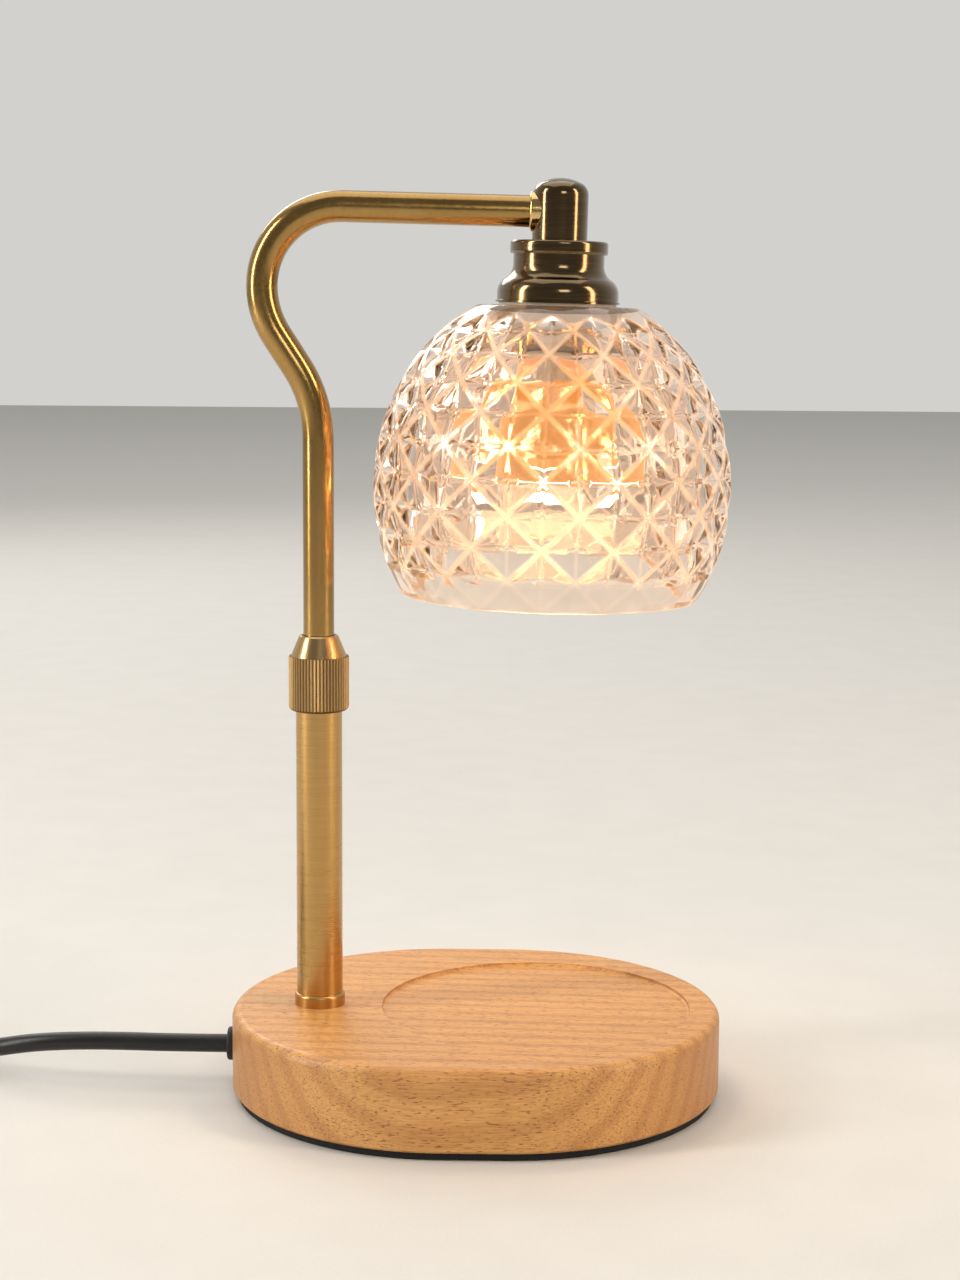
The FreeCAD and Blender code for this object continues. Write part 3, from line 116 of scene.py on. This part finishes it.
def grained(name, low, high, gloss, grain_mm, depth_mm, stretch=(1.0, 1.0, 1.0), **look):
    """A finish with a grain: its two colours, its least and most roughness, and its size and depth.

    stretch makes the grain longer along an axis, for turned and drawn metal.
    """
    mat, shader = new_finish(name, **look)
    place = add(mat, "TexCoord").outputs["Object"]
    scale = [MM / (grain_mm * s) for s in stretch]
    laid = add(mat, "Mapping", Vector=place, Scale=scale).outputs[0]
    grains = add(mat, "TexNoise", Vector=laid, Scale=1.0, Detail=3.0).outputs["Fac"]
    clouds = add(mat, "TexNoise", Vector=place, Scale=CLOUDS_PER_M, Detail=2.0).outputs["Fac"]
    both = add(mat, "Math", {"operation": "ADD"}, _0=grains, _1=clouds).outputs[0]
    blend = add(mat, "MapRange", Value=both, From_Min=TONE_SPAN[0], From_Max=TONE_SPAN[1]).outputs[0]
    tone = add(mat, "Mix", {"data_type": "RGBA"}, _0=blend, _6=linear(low), _7=linear(high))
    sheen = add(mat, "MapRange", Value=both, From_Min=TONE_SPAN[0], From_Max=TONE_SPAN[1],
                To_Min=gloss[0], To_Max=gloss[1])
    relief = add(mat, "Bump", Height=grains, Distance=depth_mm / MM)
    wire(shader, Base_Color=tone.outputs[2], Roughness=sheen.outputs[0], Normal=relief.outputs[0])
    return mat


def mesh_piece(name, points, faces, mat):
    """A piece made of points and faces, linked into the scene with its material."""
    mesh = bpy.data.meshes.new(name)
    mesh.from_pydata(points, [], faces)
    mesh.materials.append(mat)
    piece = bpy.data.objects.new(name, mesh)
    scene.collection.objects.link(piece)
    return piece


# Matt wall paint: broad and soft, with hardly any grain
floor_paint = grained("floor_paint", low=FLOOR_DARK, high=FLOOR_PALE, gloss=(0.75, 0.85),
                      grain_mm=1.2, depth_mm=0.02)
corners = [(x * FLOOR_HALF, y * FLOOR_HALF, 0.0) for x, y in ((-1, -1), (1, -1), (1, 1), (-1, 1))]
floor = mesh_piece("studio_floor", corners, [(0, 1, 2, 3)], floor_paint)

for name, spot, (wide, tall), watts, tint in LIGHTS:
    lamp = bpy.data.lights.new(name, "AREA")
    lamp.shape = "RECTANGLE"
    lamp.size = wide
    lamp.size_y = tall
    lamp.energy = watts
    lamp.color = linear(tint)[:3]
    stand = bpy.data.objects.new(name, lamp)
    stand.location = spot
    stand.rotation_euler = (AIM - Vector(spot)).to_track_quat("-Z", "Y").to_euler()
    scene.collection.objects.link(stand)

room = bpy.data.worlds.new("room")
room.use_nodes = True
toward = add(room, "SeparateXYZ", Vector=add(room, "TexCoord").outputs["Generated"]).outputs["Y"]
ahead = add(room, "MapRange", {"interpolation_type": "SMOOTHSTEP"}, Value=toward,
            From_Min=ROOM_TURN[0], From_Max=ROOM_TURN[1]).outputs[0]
walls = add(room, "Mix", {"data_type": "RGBA"}, _0=ahead, _6=linear(ROOM_BEFORE), _7=linear(ROOM_BEHIND))
wire(room.node_tree.nodes["Background"], Color=walls.outputs[2], Strength=1.0)
scene.world = room


# Base: an oval block of pale hardwood, rounded along the top edge, with a shallow round recess turned
# in it. Its growth lines run along the oval. It is sanded and has a clear satin lacquer.
WOOD_PALE = "E5AC63"
WOOD_LATE = "AE6F36"
WOOD_PORE = "7A431C"
WOOD_END = "A0632F"
# Width across the grain in mm, and how many times longer each is along it
RING = (7.0, 14.0)
FIBRE = (0.5, 30.0)
PORE = (0.45, 5.5)
# How far the growth layers lean over, drift off the oval's length, and wander
RING_TURN = math.radians(25.0)
RING_DRIFT = math.radians(3.0)
RING_WANDER = 3.2
WAVE_SPAN = 0.314  # one wave of the wave texture in its own units, so that there is one wave to a ring
LATE_FROM = 0.35
CLOUDS_PER_RING = 0.35
# How much each kind of mark darkens the wood
FIGURE_START, LATE_SHARE, FIBRE_SHARE, CLOUD_SHARE = -0.42, 0.26, 1.15, 0.35
PORE_FROM, PORE_TO, PORE_SHARE = 0.60, 0.70, 0.75
END_FROM, END_SHARE = 0.45, 0.55
WOOD_GLOSS = (0.4, 0.6)
WOOD_RELIEF_MM = 0.06


def dress(mat, *names):
    """Gives CAD nodes their finish."""
    for name in names:
        for slot in nodes[name].material_slots:
            slot.material = mat


# Lacquered hardwood: warm growth bands, fine fibres, short dark pores that show as dots on end grain
honey_wood, shader = new_finish("lacquered_hardwood", Coat_Weight=0.25, Coat_Roughness=0.3)
seat = add(honey_wood, "TexCoord")
board = add(honey_wood, "Mapping", Vector=seat.outputs["Object"],
            Rotation=(RING_TURN, 0.0, RING_DRIFT)).outputs[0]
ring_place, fibre_place, pore_place = [
    add(honey_wood, "Mapping", Vector=board, Scale=(MM / (wide * run), MM / wide, MM / wide)).outputs[0]
    for wide, run in (RING, FIBRE, PORE)]
rings = add(honey_wood, "TexWave", {"bands_direction": "Y", "wave_profile": "SIN"}, Vector=ring_place,
            Scale=WAVE_SPAN, Distortion=RING_WANDER, Detail=2.0, Detail_Scale=0.9,
            Detail_Roughness=0.5).outputs["Fac"]
late = add(honey_wood, "MapRange", {"interpolation_type": "SMOOTHSTEP"}, Value=rings,
           From_Min=LATE_FROM, From_Max=1.0).outputs[0]
fibres = add(honey_wood, "TexNoise", Vector=fibre_place, Scale=1.0, Detail=3.0).outputs["Fac"]
pore_noise = add(honey_wood, "TexNoise", Vector=pore_place, Scale=1.0, Detail=1.0).outputs["Fac"]
pores = add(honey_wood, "MapRange", Value=pore_noise, From_Min=PORE_FROM, From_Max=PORE_TO).outputs[0]
clouds = add(honey_wood, "TexNoise", Vector=ring_place, Scale=CLOUDS_PER_RING, Detail=2.0).outputs["Fac"]

figure = FIGURE_START
for marks, share in ((late, LATE_SHARE), (fibres, FIBRE_SHARE), (clouds, CLOUD_SHARE)):
    darker = add(honey_wood, "Math", {"operation": "MULTIPLY_ADD"}, _0=marks, _1=share, _2=figure)
    figure = darker.outputs[0]
darker.use_clamp = True
tone = add(honey_wood, "Mix", {"data_type": "RGBA"}, _0=figure, _6=linear(WOOD_PALE),
           _7=linear(WOOD_LATE)).outputs[2]
across = add(honey_wood, "SeparateXYZ", Vector=seat.outputs["Normal"]).outputs["X"]
end_face = add(honey_wood, "Math", {"operation": "ABSOLUTE"}, _0=across).outputs[0]
end_share = add(honey_wood, "MapRange", {"interpolation_type": "SMOOTHSTEP"}, Value=end_face,
                From_Min=END_FROM, From_Max=1.0, To_Max=END_SHARE).outputs[0]
pore_share = add(honey_wood, "Math", {"operation": "MULTIPLY"}, _0=pores, _1=PORE_SHARE).outputs[0]
for share, colour in ((end_share, WOOD_END), (pore_share, WOOD_PORE)):
    tone = add(honey_wood, "Mix", {"data_type": "RGBA"}, _0=share, _6=tone, _7=linear(colour)).outputs[2]
sheen = add(honey_wood, "MapRange", Value=fibres, To_Min=WOOD_GLOSS[0], To_Max=WOOD_GLOSS[1]).outputs[0]
hollow = add(honey_wood, "Math", {"operation": "SUBTRACT"}, _0=fibres, _1=pores).outputs[0]
relief = add(honey_wood, "Bump", Height=hollow, Distance=WOOD_RELIEF_MM / MM).outputs[0]
wire(shader, Base_Color=tone, Roughness=sheen, Normal=relief)
dress(honey_wood, "wooden_base")


# Under the base: a cast steel weight and a board cover screwed up into the wood, and a rubber pad
# glued over them, a little smaller than the wood so that it shows as a dark line.

# Cast steel: grey, with a sand-mould grain
cast_steel = grained("cast_steel", low="4A4B4D", high="66686A", gloss=(0.45, 0.65), grain_mm=1.5,
                     depth_mm=0.08, Metallic=1.0)
# Zinc-plated steel: bluish bright metal with faint rolling marks
screw_steel = grained("zinc_plated_steel", low="A9ACB0", high="C4C7CA", gloss=(0.22, 0.36),
                      grain_mm=0.6, depth_mm=0.002, Metallic=1.0)
# Pressed board: brown, fibrous and matt
cover_board = grained("pressed_board", low="3B2E25", high="54453A", gloss=(0.75, 0.9), grain_mm=0.8,
                      depth_mm=0.06, stretch=(3.0, 1.0, 1.0))
# Foam rubber: dead matt black with fine cells
pad_rubber = grained("foam_rubber", low="0F0F10", high="1E1E1F", gloss=(0.8, 0.95), grain_mm=0.5,
                     depth_mm=0.12)
dress(cast_steel, "base_weight")
dress(screw_steel, "weight_screws", "cover_screws", "clamp_screws", "post_washer", "tube_clip",
      "holder_screws", "bulb_pins", "dimmer_screws")
dress(cover_board, "bottom_cover")
dress(pad_rubber, "foot_pad")


# Wiring in the base: the cord comes in through a rubber grommet, is held by a nylon clamp, and meets
# two thinner silicone-covered leads in a terminal block. They run up the post to the head.

# Moulded rubber: deep black with a dull gloss
grommet_rubber = grained("moulded_rubber", low="0B0B0C", high="181819", gloss=(0.4, 0.55),
                         grain_mm=0.6, depth_mm=0.02)
# Silicone sleeve: off-white and a little waxy
lead_sleeve = grained("silicone_sleeve", low="CFCBC1", high="E2DFD6", gloss=(0.4, 0.55),
                      grain_mm=0.7, depth_mm=0.02)
# Natural nylon: milky white with a soft moulded sheen
white_nylon = grained("natural_nylon", low="D8D6CE", high="E8E6E0", gloss=(0.35, 0.5), grain_mm=0.9,
                      depth_mm=0.01)
dress(grommet_rubber, "cord_grommet")
dress(lead_sleeve, "base_lead", "arm_lead")
dress(white_nylon, "cord_clamp", "terminal_block", "slide_bush")


# Post: a brass tube of 15 mm with a turned collar at its foot, clamped through the wood by a hollow
# threaded nipple. The tube is polished, then brushed round and lacquered.

# Turned brass, left from the tool: yellow with close rings
machined_brass = grained("turned_brass", low="B89254", high="C8A160", gloss=(0.24, 0.34),
                         grain_mm=0.5, depth_mm=0.002, stretch=(30.0, 30.0, 1.0), Metallic=1.0)
# Satin brass: a warm broad sheen with faint rings. The brush marks are 0.1 mm apart, and drawn at 0.4 mm
# so that they show.
satin_brass = grained("satin_brass", low="B98F53", high="C49C60", gloss=(0.26, 0.30), grain_mm=0.4,
                      depth_mm=0.0001, stretch=(40.0, 40.0, 1.0), Metallic=1.0, Coat_Weight=0.2,
                      Coat_Roughness=0.15)
dress(machined_brass, "terminal_screws", "tube_foot_bush", "post_nipple", "post_nut", "collet_bush",
      "clamp_collet", "tube_end_ring", "head_nipple", "head_nut", "holder_contacts", "shade_ring")
dress(satin_brass, "lower_tube", "post_collar")


# Locking nut: turned brass with a straight knurl, rolled into it and left dull, under a plain cone.
# It screws onto the post's bush and squeezes the collet round the upper tube.
POST_AXIS = (-0.0515, 0.0, 0.0)
KNURL_CREST = 0.00975
KNURL_ROOT = 0.00935
KNURL_TOP = 0.1443
# Colours of the painted shade in the roots, of the crests, and of the pits
ROOT_SHADE, CREST_BRASS, PITTED = "70542F", "D6B786", "D8C8B0"
ROOT_ROUGH, CREST_ROUGH, CONE_POLISH = 0.55, 0.40, -0.16
ROLLED_PIT_MM, ROLLED_RELIEF_MM = 0.5, 0.02

# Rolled brass: pale dull crests, and painted shade darkening the roots between them
knurled_brass, shader = new_finish("knurled_brass", Metallic=1.0)
seat = add(knurled_brass, "TexCoord").outputs["Object"]
apart = add(knurled_brass, "VectorMath", {"operation": "SUBTRACT"}, _0=seat, _1=POST_AXIS).outputs[0]
flat = add(knurled_brass, "VectorMath", {"operation": "MULTIPLY"}, _0=apart, _1=(1.0, 1.0, 0.0)).outputs[0]
out_by = add(knurled_brass, "VectorMath", {"operation": "LENGTH"}, _0=flat).outputs["Value"]
crest = add(knurled_brass, "MapRange", {"interpolation_type": "SMOOTHSTEP"}, Value=out_by,
            From_Min=KNURL_ROOT, From_Max=KNURL_CREST).outputs[0]
height = add(knurled_brass, "SeparateXYZ", Vector=seat).outputs["Z"]
above = add(knurled_brass, "Math", {"operation": "GREATER_THAN"}, _0=height, _1=KNURL_TOP).outputs[0]
crest_or_cone = add(knurled_brass, "Math", {"operation": "MAXIMUM"}, _0=crest, _1=above).outputs[0]
pits = add(knurled_brass, "TexNoise", Vector=seat, Scale=MM / ROLLED_PIT_MM, Detail=3.0).outputs["Fac"]
# The roots are painted dark as shade, and the crests and the cone are pale brass
tone = add(knurled_brass, "Mix", {"data_type": "RGBA"}, _0=crest_or_cone, _6=linear(ROOT_SHADE),
           _7=linear(CREST_BRASS)).outputs[2]
tone = add(knurled_brass, "Mix", {"data_type": "RGBA", "blend_type": "MULTIPLY"}, _0=pits, _6=tone,
           _7=linear(PITTED)).outputs[2]
dull = add(knurled_brass, "MapRange", Value=crest_or_cone, To_Min=ROOT_ROUGH, To_Max=CREST_ROUGH).outputs[0]
rough = add(knurled_brass, "Math", {"operation": "MULTIPLY_ADD"}, _0=above, _1=CONE_POLISH,
            _2=dull).outputs[0]
relief = add(knurled_brass, "Bump", Height=pits, Distance=ROLLED_RELIEF_MM / MM).outputs[0]
wire(shader, Base_Color=tone, Roughness=rough, Normal=relief)
dress(knurled_brass, "locking_nut")


# Upper tube: brass of 10 mm, drawn, bent cold in two sweeps and polished along its length. It slides
# and turns in the post, and its far end is soldered into the head's elbow through a bright ring.

# Polished tube: deeper brown gold than the post, with small soft waves left by the bending
drawn_brass = grained("drawn_brass", low="9E7B42", high="B08C50", gloss=(0.15, 0.24), grain_mm=0.9,
                      depth_mm=0.0008, Metallic=1.0, Coat_Weight=0.35, Coat_Roughness=0.08)
# Bright brass: nearly a mirror
bright_brass = grained("bright_brass", low="D6B070", high="E4C288", gloss=(0.08, 0.16),
                       grain_mm=0.5, depth_mm=0.0006, Metallic=1.0)
dress(drawn_brass, "upper_tube")
dress(bright_brass, "arm_ring", "plug_blades")


# Head: a domed elbow turned from bar, over a cup spun from sheet with a rolled flange and a flared
# mouth. Both are polished and toned dark, so they show brown with cream highlights.

# Toned brass: dark antique brown in the deep parts, gold where polishing thinned the tone
toned_brass = grained("toned_brass", low="5C482C", high="76603C", gloss=(0.12, 0.2), grain_mm=0.6,
                      depth_mm=0.0008, stretch=(20.0, 20.0, 1.0), Metallic=1.0, Coat_Weight=0.6,
                      Coat_Roughness=0.07)
# Rolled steel sleeve: plain grey metal
sleeve_steel = grained("rolled_steel", low="8E9194", high="A6A9AC", gloss=(0.28, 0.4), grain_mm=0.5,
                       depth_mm=0.002, stretch=(1.0, 1.0, 12.0), Metallic=1.0)
dress(toned_brass, "head_elbow", "head_cup")
dress(sleeve_steel, "holder_sleeve")


# Lamp holder: a glazed ceramic body with two sprung contacts, screwed under the sleeve. The shade hangs
# between two silicone rings that a toothed ring nut presses together.

# Glazed steatite: ivory white under a glassy coat
white_ceramic = grained("glazed_steatite", low="DDD8CC", high="EFEBE2", gloss=(0.25, 0.4),
                        grain_mm=1.2, depth_mm=0.02, Coat_Weight=0.6, Coat_Roughness=0.1)
# Silicone rubber: translucent grey white
gasket_silicone = grained("silicone_rubber", low="B9B6B0", high="D2D0CB", gloss=(0.45, 0.6),
                          grain_mm=0.8, depth_mm=0.02)
dress(white_ceramic, "lamp_holder", "bulb_base")
dress(gasket_silicone, "upper_gasket", "lower_gasket")


# Shade: thick pressed glass, open below. The mould cuts a lattice of diamonds all round: each is a sunk
# four-sided pit between rounded crests, with a thin raised arm in each crease, which makes a star. A plain
# scalloped band is left above, and a plain rim below.

# The head's middle in metres. The other lengths here are in mm, and heights count from that middle.
HEAD_SPOT = (0.0250, 0.0, 0.2859)
LEAN = math.radians(1.2)
SHADE_MID = -86.4
OUT_A, OUT_B = 56.98, 63.8
IN_A, IN_B = 52.5, 59.3
# Rows count down the curve and columns go round it. A diamond is two of each across.
ROW_START = math.radians(38.4)
ROW_TURN = math.radians(9.36)
COLUMNS = 32
STEPS = 12
FIRST_COLUMN = math.radians(-93.5)
TOP_ROW, FOOT_ROW = -1.0, 9.0
LAST_FULL_ROW = 8.0
# Widths across the lattice are in columns or rows. A crest is frosted most along its middle, and the
# glow painted on it is strongest there.
CREST = 1.0 / STEPS
CREST_FROM, CREST_TO = 0.5 * CREST, 2.0 * CREST
PIT_DEPTH = 2.4
PIT_SHRINK = 0.8
# How far the arms rise, and their crest share, which frosts them and paints a fainter glow on them
ARM_RISE, ARM_CREST = 0.5, 0.35
ARM_HALF = 0.5 / STEPS
FOOT_PIT = 0.12
FOOT_FADE = 2.0 * CREST
SCALLOP_ROW, SCALLOP_WAVE, SCALLOP_STEP = -0.45, 0.18, 0.10
LIP_FADE = 1.5 * SCALLOP_STEP
# Crest shares of the plain band, the rim and the inside: how frosted each is and how much painted glow it
# gets
PLAIN_CREST, RIM_CREST, INNER_CREST = 0.15, 0.8, 0.0
HOLE_R = 14.2
SHOULDER = [(HOLE_R, -29.2), (24.4, -29.2), (25.2, -29.32), (25.9, -29.62)]
RIM = [(47.72, -121.05), (47.45, -121.28), (47.0, -121.4), (43.4, -121.4), (42.85, -121.3), (42.5, -121.0)]
ROOF = (HOLE_R, -33.7)
IN_FOOT, IN_TOP = math.radians(125.0), math.radians(27.3)
IN_RINGS = 24
SHARP = math.radians(18.0)
# Two tints of the glass, and the colour of the glow painted on the crests
GLASS_DEEP, GLASS_CLEAR, PAINTED_GLOW_TINT = "FAE5D3", "FCEEE2", "FFC38C"
GLASS_ROUGH, CREST_HAZE = 0.02, 0.14
# How strong the glow painted on the crests is, and its least and most where it is patchy
PAINTED_CREST_GLOW = 0.45
PAINTED_GLOW_LEAST, PAINTED_GLOW_MOST = 0.5 * PAINTED_CREST_GLOW, 1.5 * PAINTED_CREST_GLOW
WAVE_MM, WAVE_DEPTH_MM = 6.0, 0.08


def smooth_step(low, high, value):
    """0 below low, 1 above high, and a soft rise between."""
    share = min(max((value - low) / (high - low), 0.0), 1.0)
    return share * share * (3 - 2 * share)


def in_cell(column, row):
    """Where a point is in its diamond: across and up from the middle, each from -1 to 1."""
    u, v = round((column + row) / 2), round((column - row) / 2)
    return column - u - v, row - u + v


def pit(column, row, radius):
    """How deep the glass is pressed in at a point, in mm, and its share of a crest, from 0 to 1."""
    across, up = in_cell(column, row)
    inside = 1 - abs(across) - abs(up)
    slope = max(inside - CREST, 0.0) / (1 - CREST)
    # The crest share frosts the glass and sets how much glow is painted on it
    crest = 1 - smooth_step(CREST_FROM, CREST_TO, inside)
    if min(abs(across), abs(up)) < ARM_HALF:
        crest = max(crest, ARM_CREST)
        slope *= 1 - ARM_RISE / PIT_DEPTH
    edge = SCALLOP_ROW - SCALLOP_WAVE * math.cos(math.pi * column)
    share = smooth_step(edge - SCALLOP_STEP, edge + SCALLOP_STEP, row)
    # A thin line along the scalloped edge is frosted and painted glowing like a crest
    lip = 1 - smooth_step(0.0, LIP_FADE, abs(row - edge))
    share *= 1 - (1 - FOOT_PIT) * smooth_step(LAST_FULL_ROW, LAST_FULL_ROW + FOOT_FADE, row)
    depth = PIT_DEPTH * (radius / OUT_A) ** PIT_SHRINK * slope * share
    return depth, max(lip, PLAIN_CREST + (crest - PLAIN_CREST) * share)


around = COLUMNS * STEPS
down = round((FOOT_ROW - TOP_ROW) * STEPS)
points, crests = [], []


def put_point(radius, step, height, crest):
    """Adds a point of the shade, from the head's own upright line, which leans a little."""
    angle = FIRST_COLUMN + 2 * math.pi * step / around
    x, y, z = radius * math.cos(angle) / MM, radius * math.sin(angle) / MM, height / MM
    points.append((HEAD_SPOT[0] + x * math.cos(LEAN) + z * math.sin(LEAN), HEAD_SPOT[1] + y,
                   HEAD_SPOT[2] - x * math.sin(LEAN) + z * math.cos(LEAN)))
    crests.append(crest)


def plain_ring(radius, height, crest):
    """Adds one round ring of the shade's points."""
    for step in range(around):
        put_point(radius, step, height, crest)


for radius, height in SHOULDER:
    plain_ring(radius, height, PLAIN_CREST)
for j in range(down + 1):
    row = TOP_ROW + j / STEPS
    turn = ROW_START + row * ROW_TURN
    radius, height = OUT_A * math.sin(turn), SHADE_MID + OUT_B * math.cos(turn)
    slant = math.hypot(math.sin(turn) / OUT_A, math.cos(turn) / OUT_B)
    in_x, in_z = math.sin(turn) / OUT_A / slant, math.cos(turn) / OUT_B / slant
    for i in range(around):
        sunk, crest = pit(i / STEPS, row, radius)
        put_point(radius - in_x * sunk, i, height - in_z * sunk, crest)
for radius, height in RIM:
    plain_ring(radius, height, RIM_CREST)
for j in range(IN_RINGS + 1):
    turn = IN_FOOT + (IN_TOP - IN_FOOT) * j / IN_RINGS
    plain_ring(IN_A * math.sin(turn), SHADE_MID + IN_B * math.cos(turn), INNER_CREST)
plain_ring(*ROOF, INNER_CREST)

# Each square of the lattice is split along its diamond's edge, so that crests and creases stay straight
rings = len(points) // around
faces = []
for j in range(rings):
    below = (j + 1) % rings
    row = TOP_ROW + (j - len(SHOULDER) + 0.5) / STEPS
    for i in range(around):
        a, b = j * around + i, j * around + (i + 1) % around
        c, d = below * around + (i + 1) % around, below * around + i
        if not len(SHOULDER) <= j < len(SHOULDER) + down:
            faces.append((a, d, c, b))
            continue
        x, y = in_cell((i + 0.5) / STEPS, row)
        faces += [(a, d, b), (b, d, c)] if x * y > 0 else [(a, d, c), (a, c, b)]

# Pressed soda-lime glass with a peach tint. Its crests are rounded and a little frosted by the mould, and
# the light they catch from the bulb is painted on as glowing lines. PAINTED_CREST_GLOW sets that painted
# glow.
peach_glass, shader = new_finish("pressed_glass", Transmission_Weight=1.0, IOR=1.5,
                                 Emission_Color=linear(PAINTED_GLOW_TINT))
seat = add(peach_glass, "TexCoord").outputs["Object"]
waves = add(peach_glass, "TexNoise", Vector=seat, Scale=MM / WAVE_MM, Detail=1.0).outputs["Fac"]
crest_haze_and_glow = add(peach_glass, "Attribute", {"attribute_name": "crest"}).outputs["Fac"]
tone = add(peach_glass, "Mix", {"data_type": "RGBA"}, _0=waves, _6=linear(GLASS_DEEP),
           _7=linear(GLASS_CLEAR)).outputs[2]
sheen = add(peach_glass, "MapRange", Value=crest_haze_and_glow, To_Min=GLASS_ROUGH, To_Max=CREST_HAZE).outputs[0]
painted_glow_patches = add(peach_glass, "MapRange", Value=waves, To_Min=PAINTED_GLOW_LEAST, To_Max=PAINTED_GLOW_MOST).outputs[0]
painted_glow = add(peach_glass, "Math", {"operation": "MULTIPLY"}, _0=crest_haze_and_glow, _1=painted_glow_patches).outputs[0]
relief = add(peach_glass, "Bump", Height=waves, Distance=WAVE_DEPTH_MM / MM).outputs[0]
wire(shader, Base_Color=tone, Roughness=sheen, Normal=relief, Emission_Strength=painted_glow)

pressed_shade = mesh_piece("pressed_shade", points, faces, peach_glass)
pressed_shade.data.shade_smooth()
pressed_shade.data.set_sharp_from_angle(angle=SHARP)
pressed_shade.data.attributes.new("crest", "FLOAT", "POINT").data.foreach_set("value", crests)
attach(pressed_shade, "arm")
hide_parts("glass_shade")


# Bulb: a reflector lamp of 50 mm on a two-pin ceramic base. The glass bowl is silvered inside and lets a
# little warm light through, and its frosted front glows.

# Silvered glass: bright, faintly dimpled, and warm from the light behind it
bulb_mirror = grained("silvered_glass", low="CDB491", high="E2CCAA", gloss=(0.14, 0.26),
                      grain_mm=3.0, depth_mm=0.1, Metallic=1.0, Emission_Color=linear("FFB062"),
                      Emission_Strength=0.65)
# Frosted lens, lit: a warm white glow
lit_lens = grained("frosted_lens", low="FFE9C8", high="FFF4E0", gloss=(0.3, 0.5), grain_mm=1.5,
                   depth_mm=0.1, Emission_Color=linear("FFD9A0"), Emission_Strength=12.0)
dress(bulb_mirror, "bulb_reflector")
dress(lit_lens, "bulb_lens", "bulb_capsule")


# Mains lead: two cores in a round jacket of soft black PVC, 6 mm across. It comes out of the base's
# left end, drops to the table and runs to the dimmer, then winds into a coil that ends in the plug.
CORD_R = 0.003
LAMP_ROUTE = [(-0.0820, 0.0, 0.0142), (-0.1010, 0.0, 0.0142), (-0.1180, 0.0006, 0.0144),
              (-0.1340, 0.0018, 0.0139), (-0.1480, 0.0042, 0.0123), (-0.1600, 0.0086, 0.0092),
              (-0.1705, 0.0146, 0.0058), (-0.1800, 0.0216, 0.0037), (-0.1900, 0.0293, 0.0044),
              (-0.2030, 0.0340, 0.0070), (-0.2170, 0.0340, 0.0070)]
LEAD_IN_ROUTE = [(-0.3170, 0.0340, 0.0070), (-0.3310, 0.0340, 0.0070), (-0.3439, 0.0286, 0.0054),
                 (-0.3538, 0.0187, 0.0038), (-0.3592, 0.0058, 0.0030), (-0.3592, -0.0160, 0.0030)]
TAIL_ROUTE = [(-0.3102, -0.0667, 0.0096), (-0.2962, -0.0667, 0.0096), (-0.2827, -0.0630, 0.0096)]
COIL_SPOT = (-0.3162, -0.0220)
COIL_R = 0.0430
COIL_PITCH = 0.0066
COIL_LAYER = 0.0066
QUARTERS_IN = 10
QUARTERS = 21
STEPS_PER_QUARTER = 4

# Soft PVC: near black, a soft broad sheen, and a skin that waves slightly over the cores
cord_jacket = grained("soft_pvc_jacket", low="080809", high="121213", gloss=(0.34, 0.46),
                      grain_mm=0.9, depth_mm=0.03)


def coil_point(quarter):
    """A point of the coil: inwards on the table, up a layer, and outwards again on top."""
    inward = min(quarter, QUARTERS_IN)
    outward = max(quarter - QUARTERS_IN, 0)
    radius = COIL_R - COIL_PITCH * (inward - outward) / 4
    climb = min(max((quarter - QUARTERS_IN + 1) / 2, 0.0), 1.0)
    angle = math.pi + quarter * math.pi / 2
    height = CORD_R + COIL_LAYER * (1 - math.cos(math.pi * climb)) / 2
    return (COIL_SPOT[0] + radius * math.cos(angle), COIL_SPOT[1] + radius * math.sin(angle), height)


def laid_cord(name, route):
    """A round cord on one smooth spline that has the route's points as its control points."""
    curve = bpy.data.curves.new(name, "CURVE")
    curve.dimensions = "3D"
    curve.bevel_depth = CORD_R
    curve.bevel_resolution = 5
    curve.resolution_u = 10
    curve.use_fill_caps = True
    spline = curve.splines.new("NURBS")
    spline.points.add(len(route) - 1)
    for point, spot in zip(spline.points, route):
        point.co = (*spot, 1.0)
    spline.order_u = 3
    spline.use_endpoint_u = True
    curve.materials.append(cord_jacket)
    cord = bpy.data.objects.new(name, curve)
    scene.collection.objects.link(cord)
    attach(cord, "base")
    return cord


lamp_cord = laid_cord("lamp_cord", LAMP_ROUTE)
turns = [coil_point(k / STEPS_PER_QUARTER) for k in range(QUARTERS * STEPS_PER_QUARTER + 1)]
coiled_cord = laid_cord("coiled_cord", LEAD_IN_ROUTE + turns + TAIL_ROUTE)
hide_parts("power_cord")
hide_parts("cord_lead_in", "cord_coil", "cord_to_plug")


# Dimmer and plug: two moulded half shells screwed together, with a board, its resistor and a thumbwheel
# between them, and a ribbed boot at each end. The plug is moulded onto the cord's end.

# Moulded shell: black ABS with a fine spark-eroded texture, which takes the shine off
shell_plastic = grained("moulded_abs", low="121213", high="202022", gloss=(0.4, 0.58), grain_mm=0.3,
                        depth_mm=0.03)
# Thumbwheel: harder and a little greyer than the shell
wheel_plastic = grained("wheel_acetal", low="252527", high="36363A", gloss=(0.3, 0.45),
                        grain_mm=0.5, depth_mm=0.015)
# Circuit board: brown laminate
board_laminate = grained("paper_laminate", low="6B4A26", high="85602F", gloss=(0.35, 0.5),
                         grain_mm=0.5, depth_mm=0.02, stretch=(4.0, 1.0, 1.0))
dress(shell_plastic, "dimmer_base", "dimmer_cover", "dimmer_resistor")
dress(wheel_plastic, "dimmer_wheel")
dress(board_laminate, "dimmer_board")
dress(cord_jacket, "cord_tail_in_base", "dimmer_boots", "plug_body")
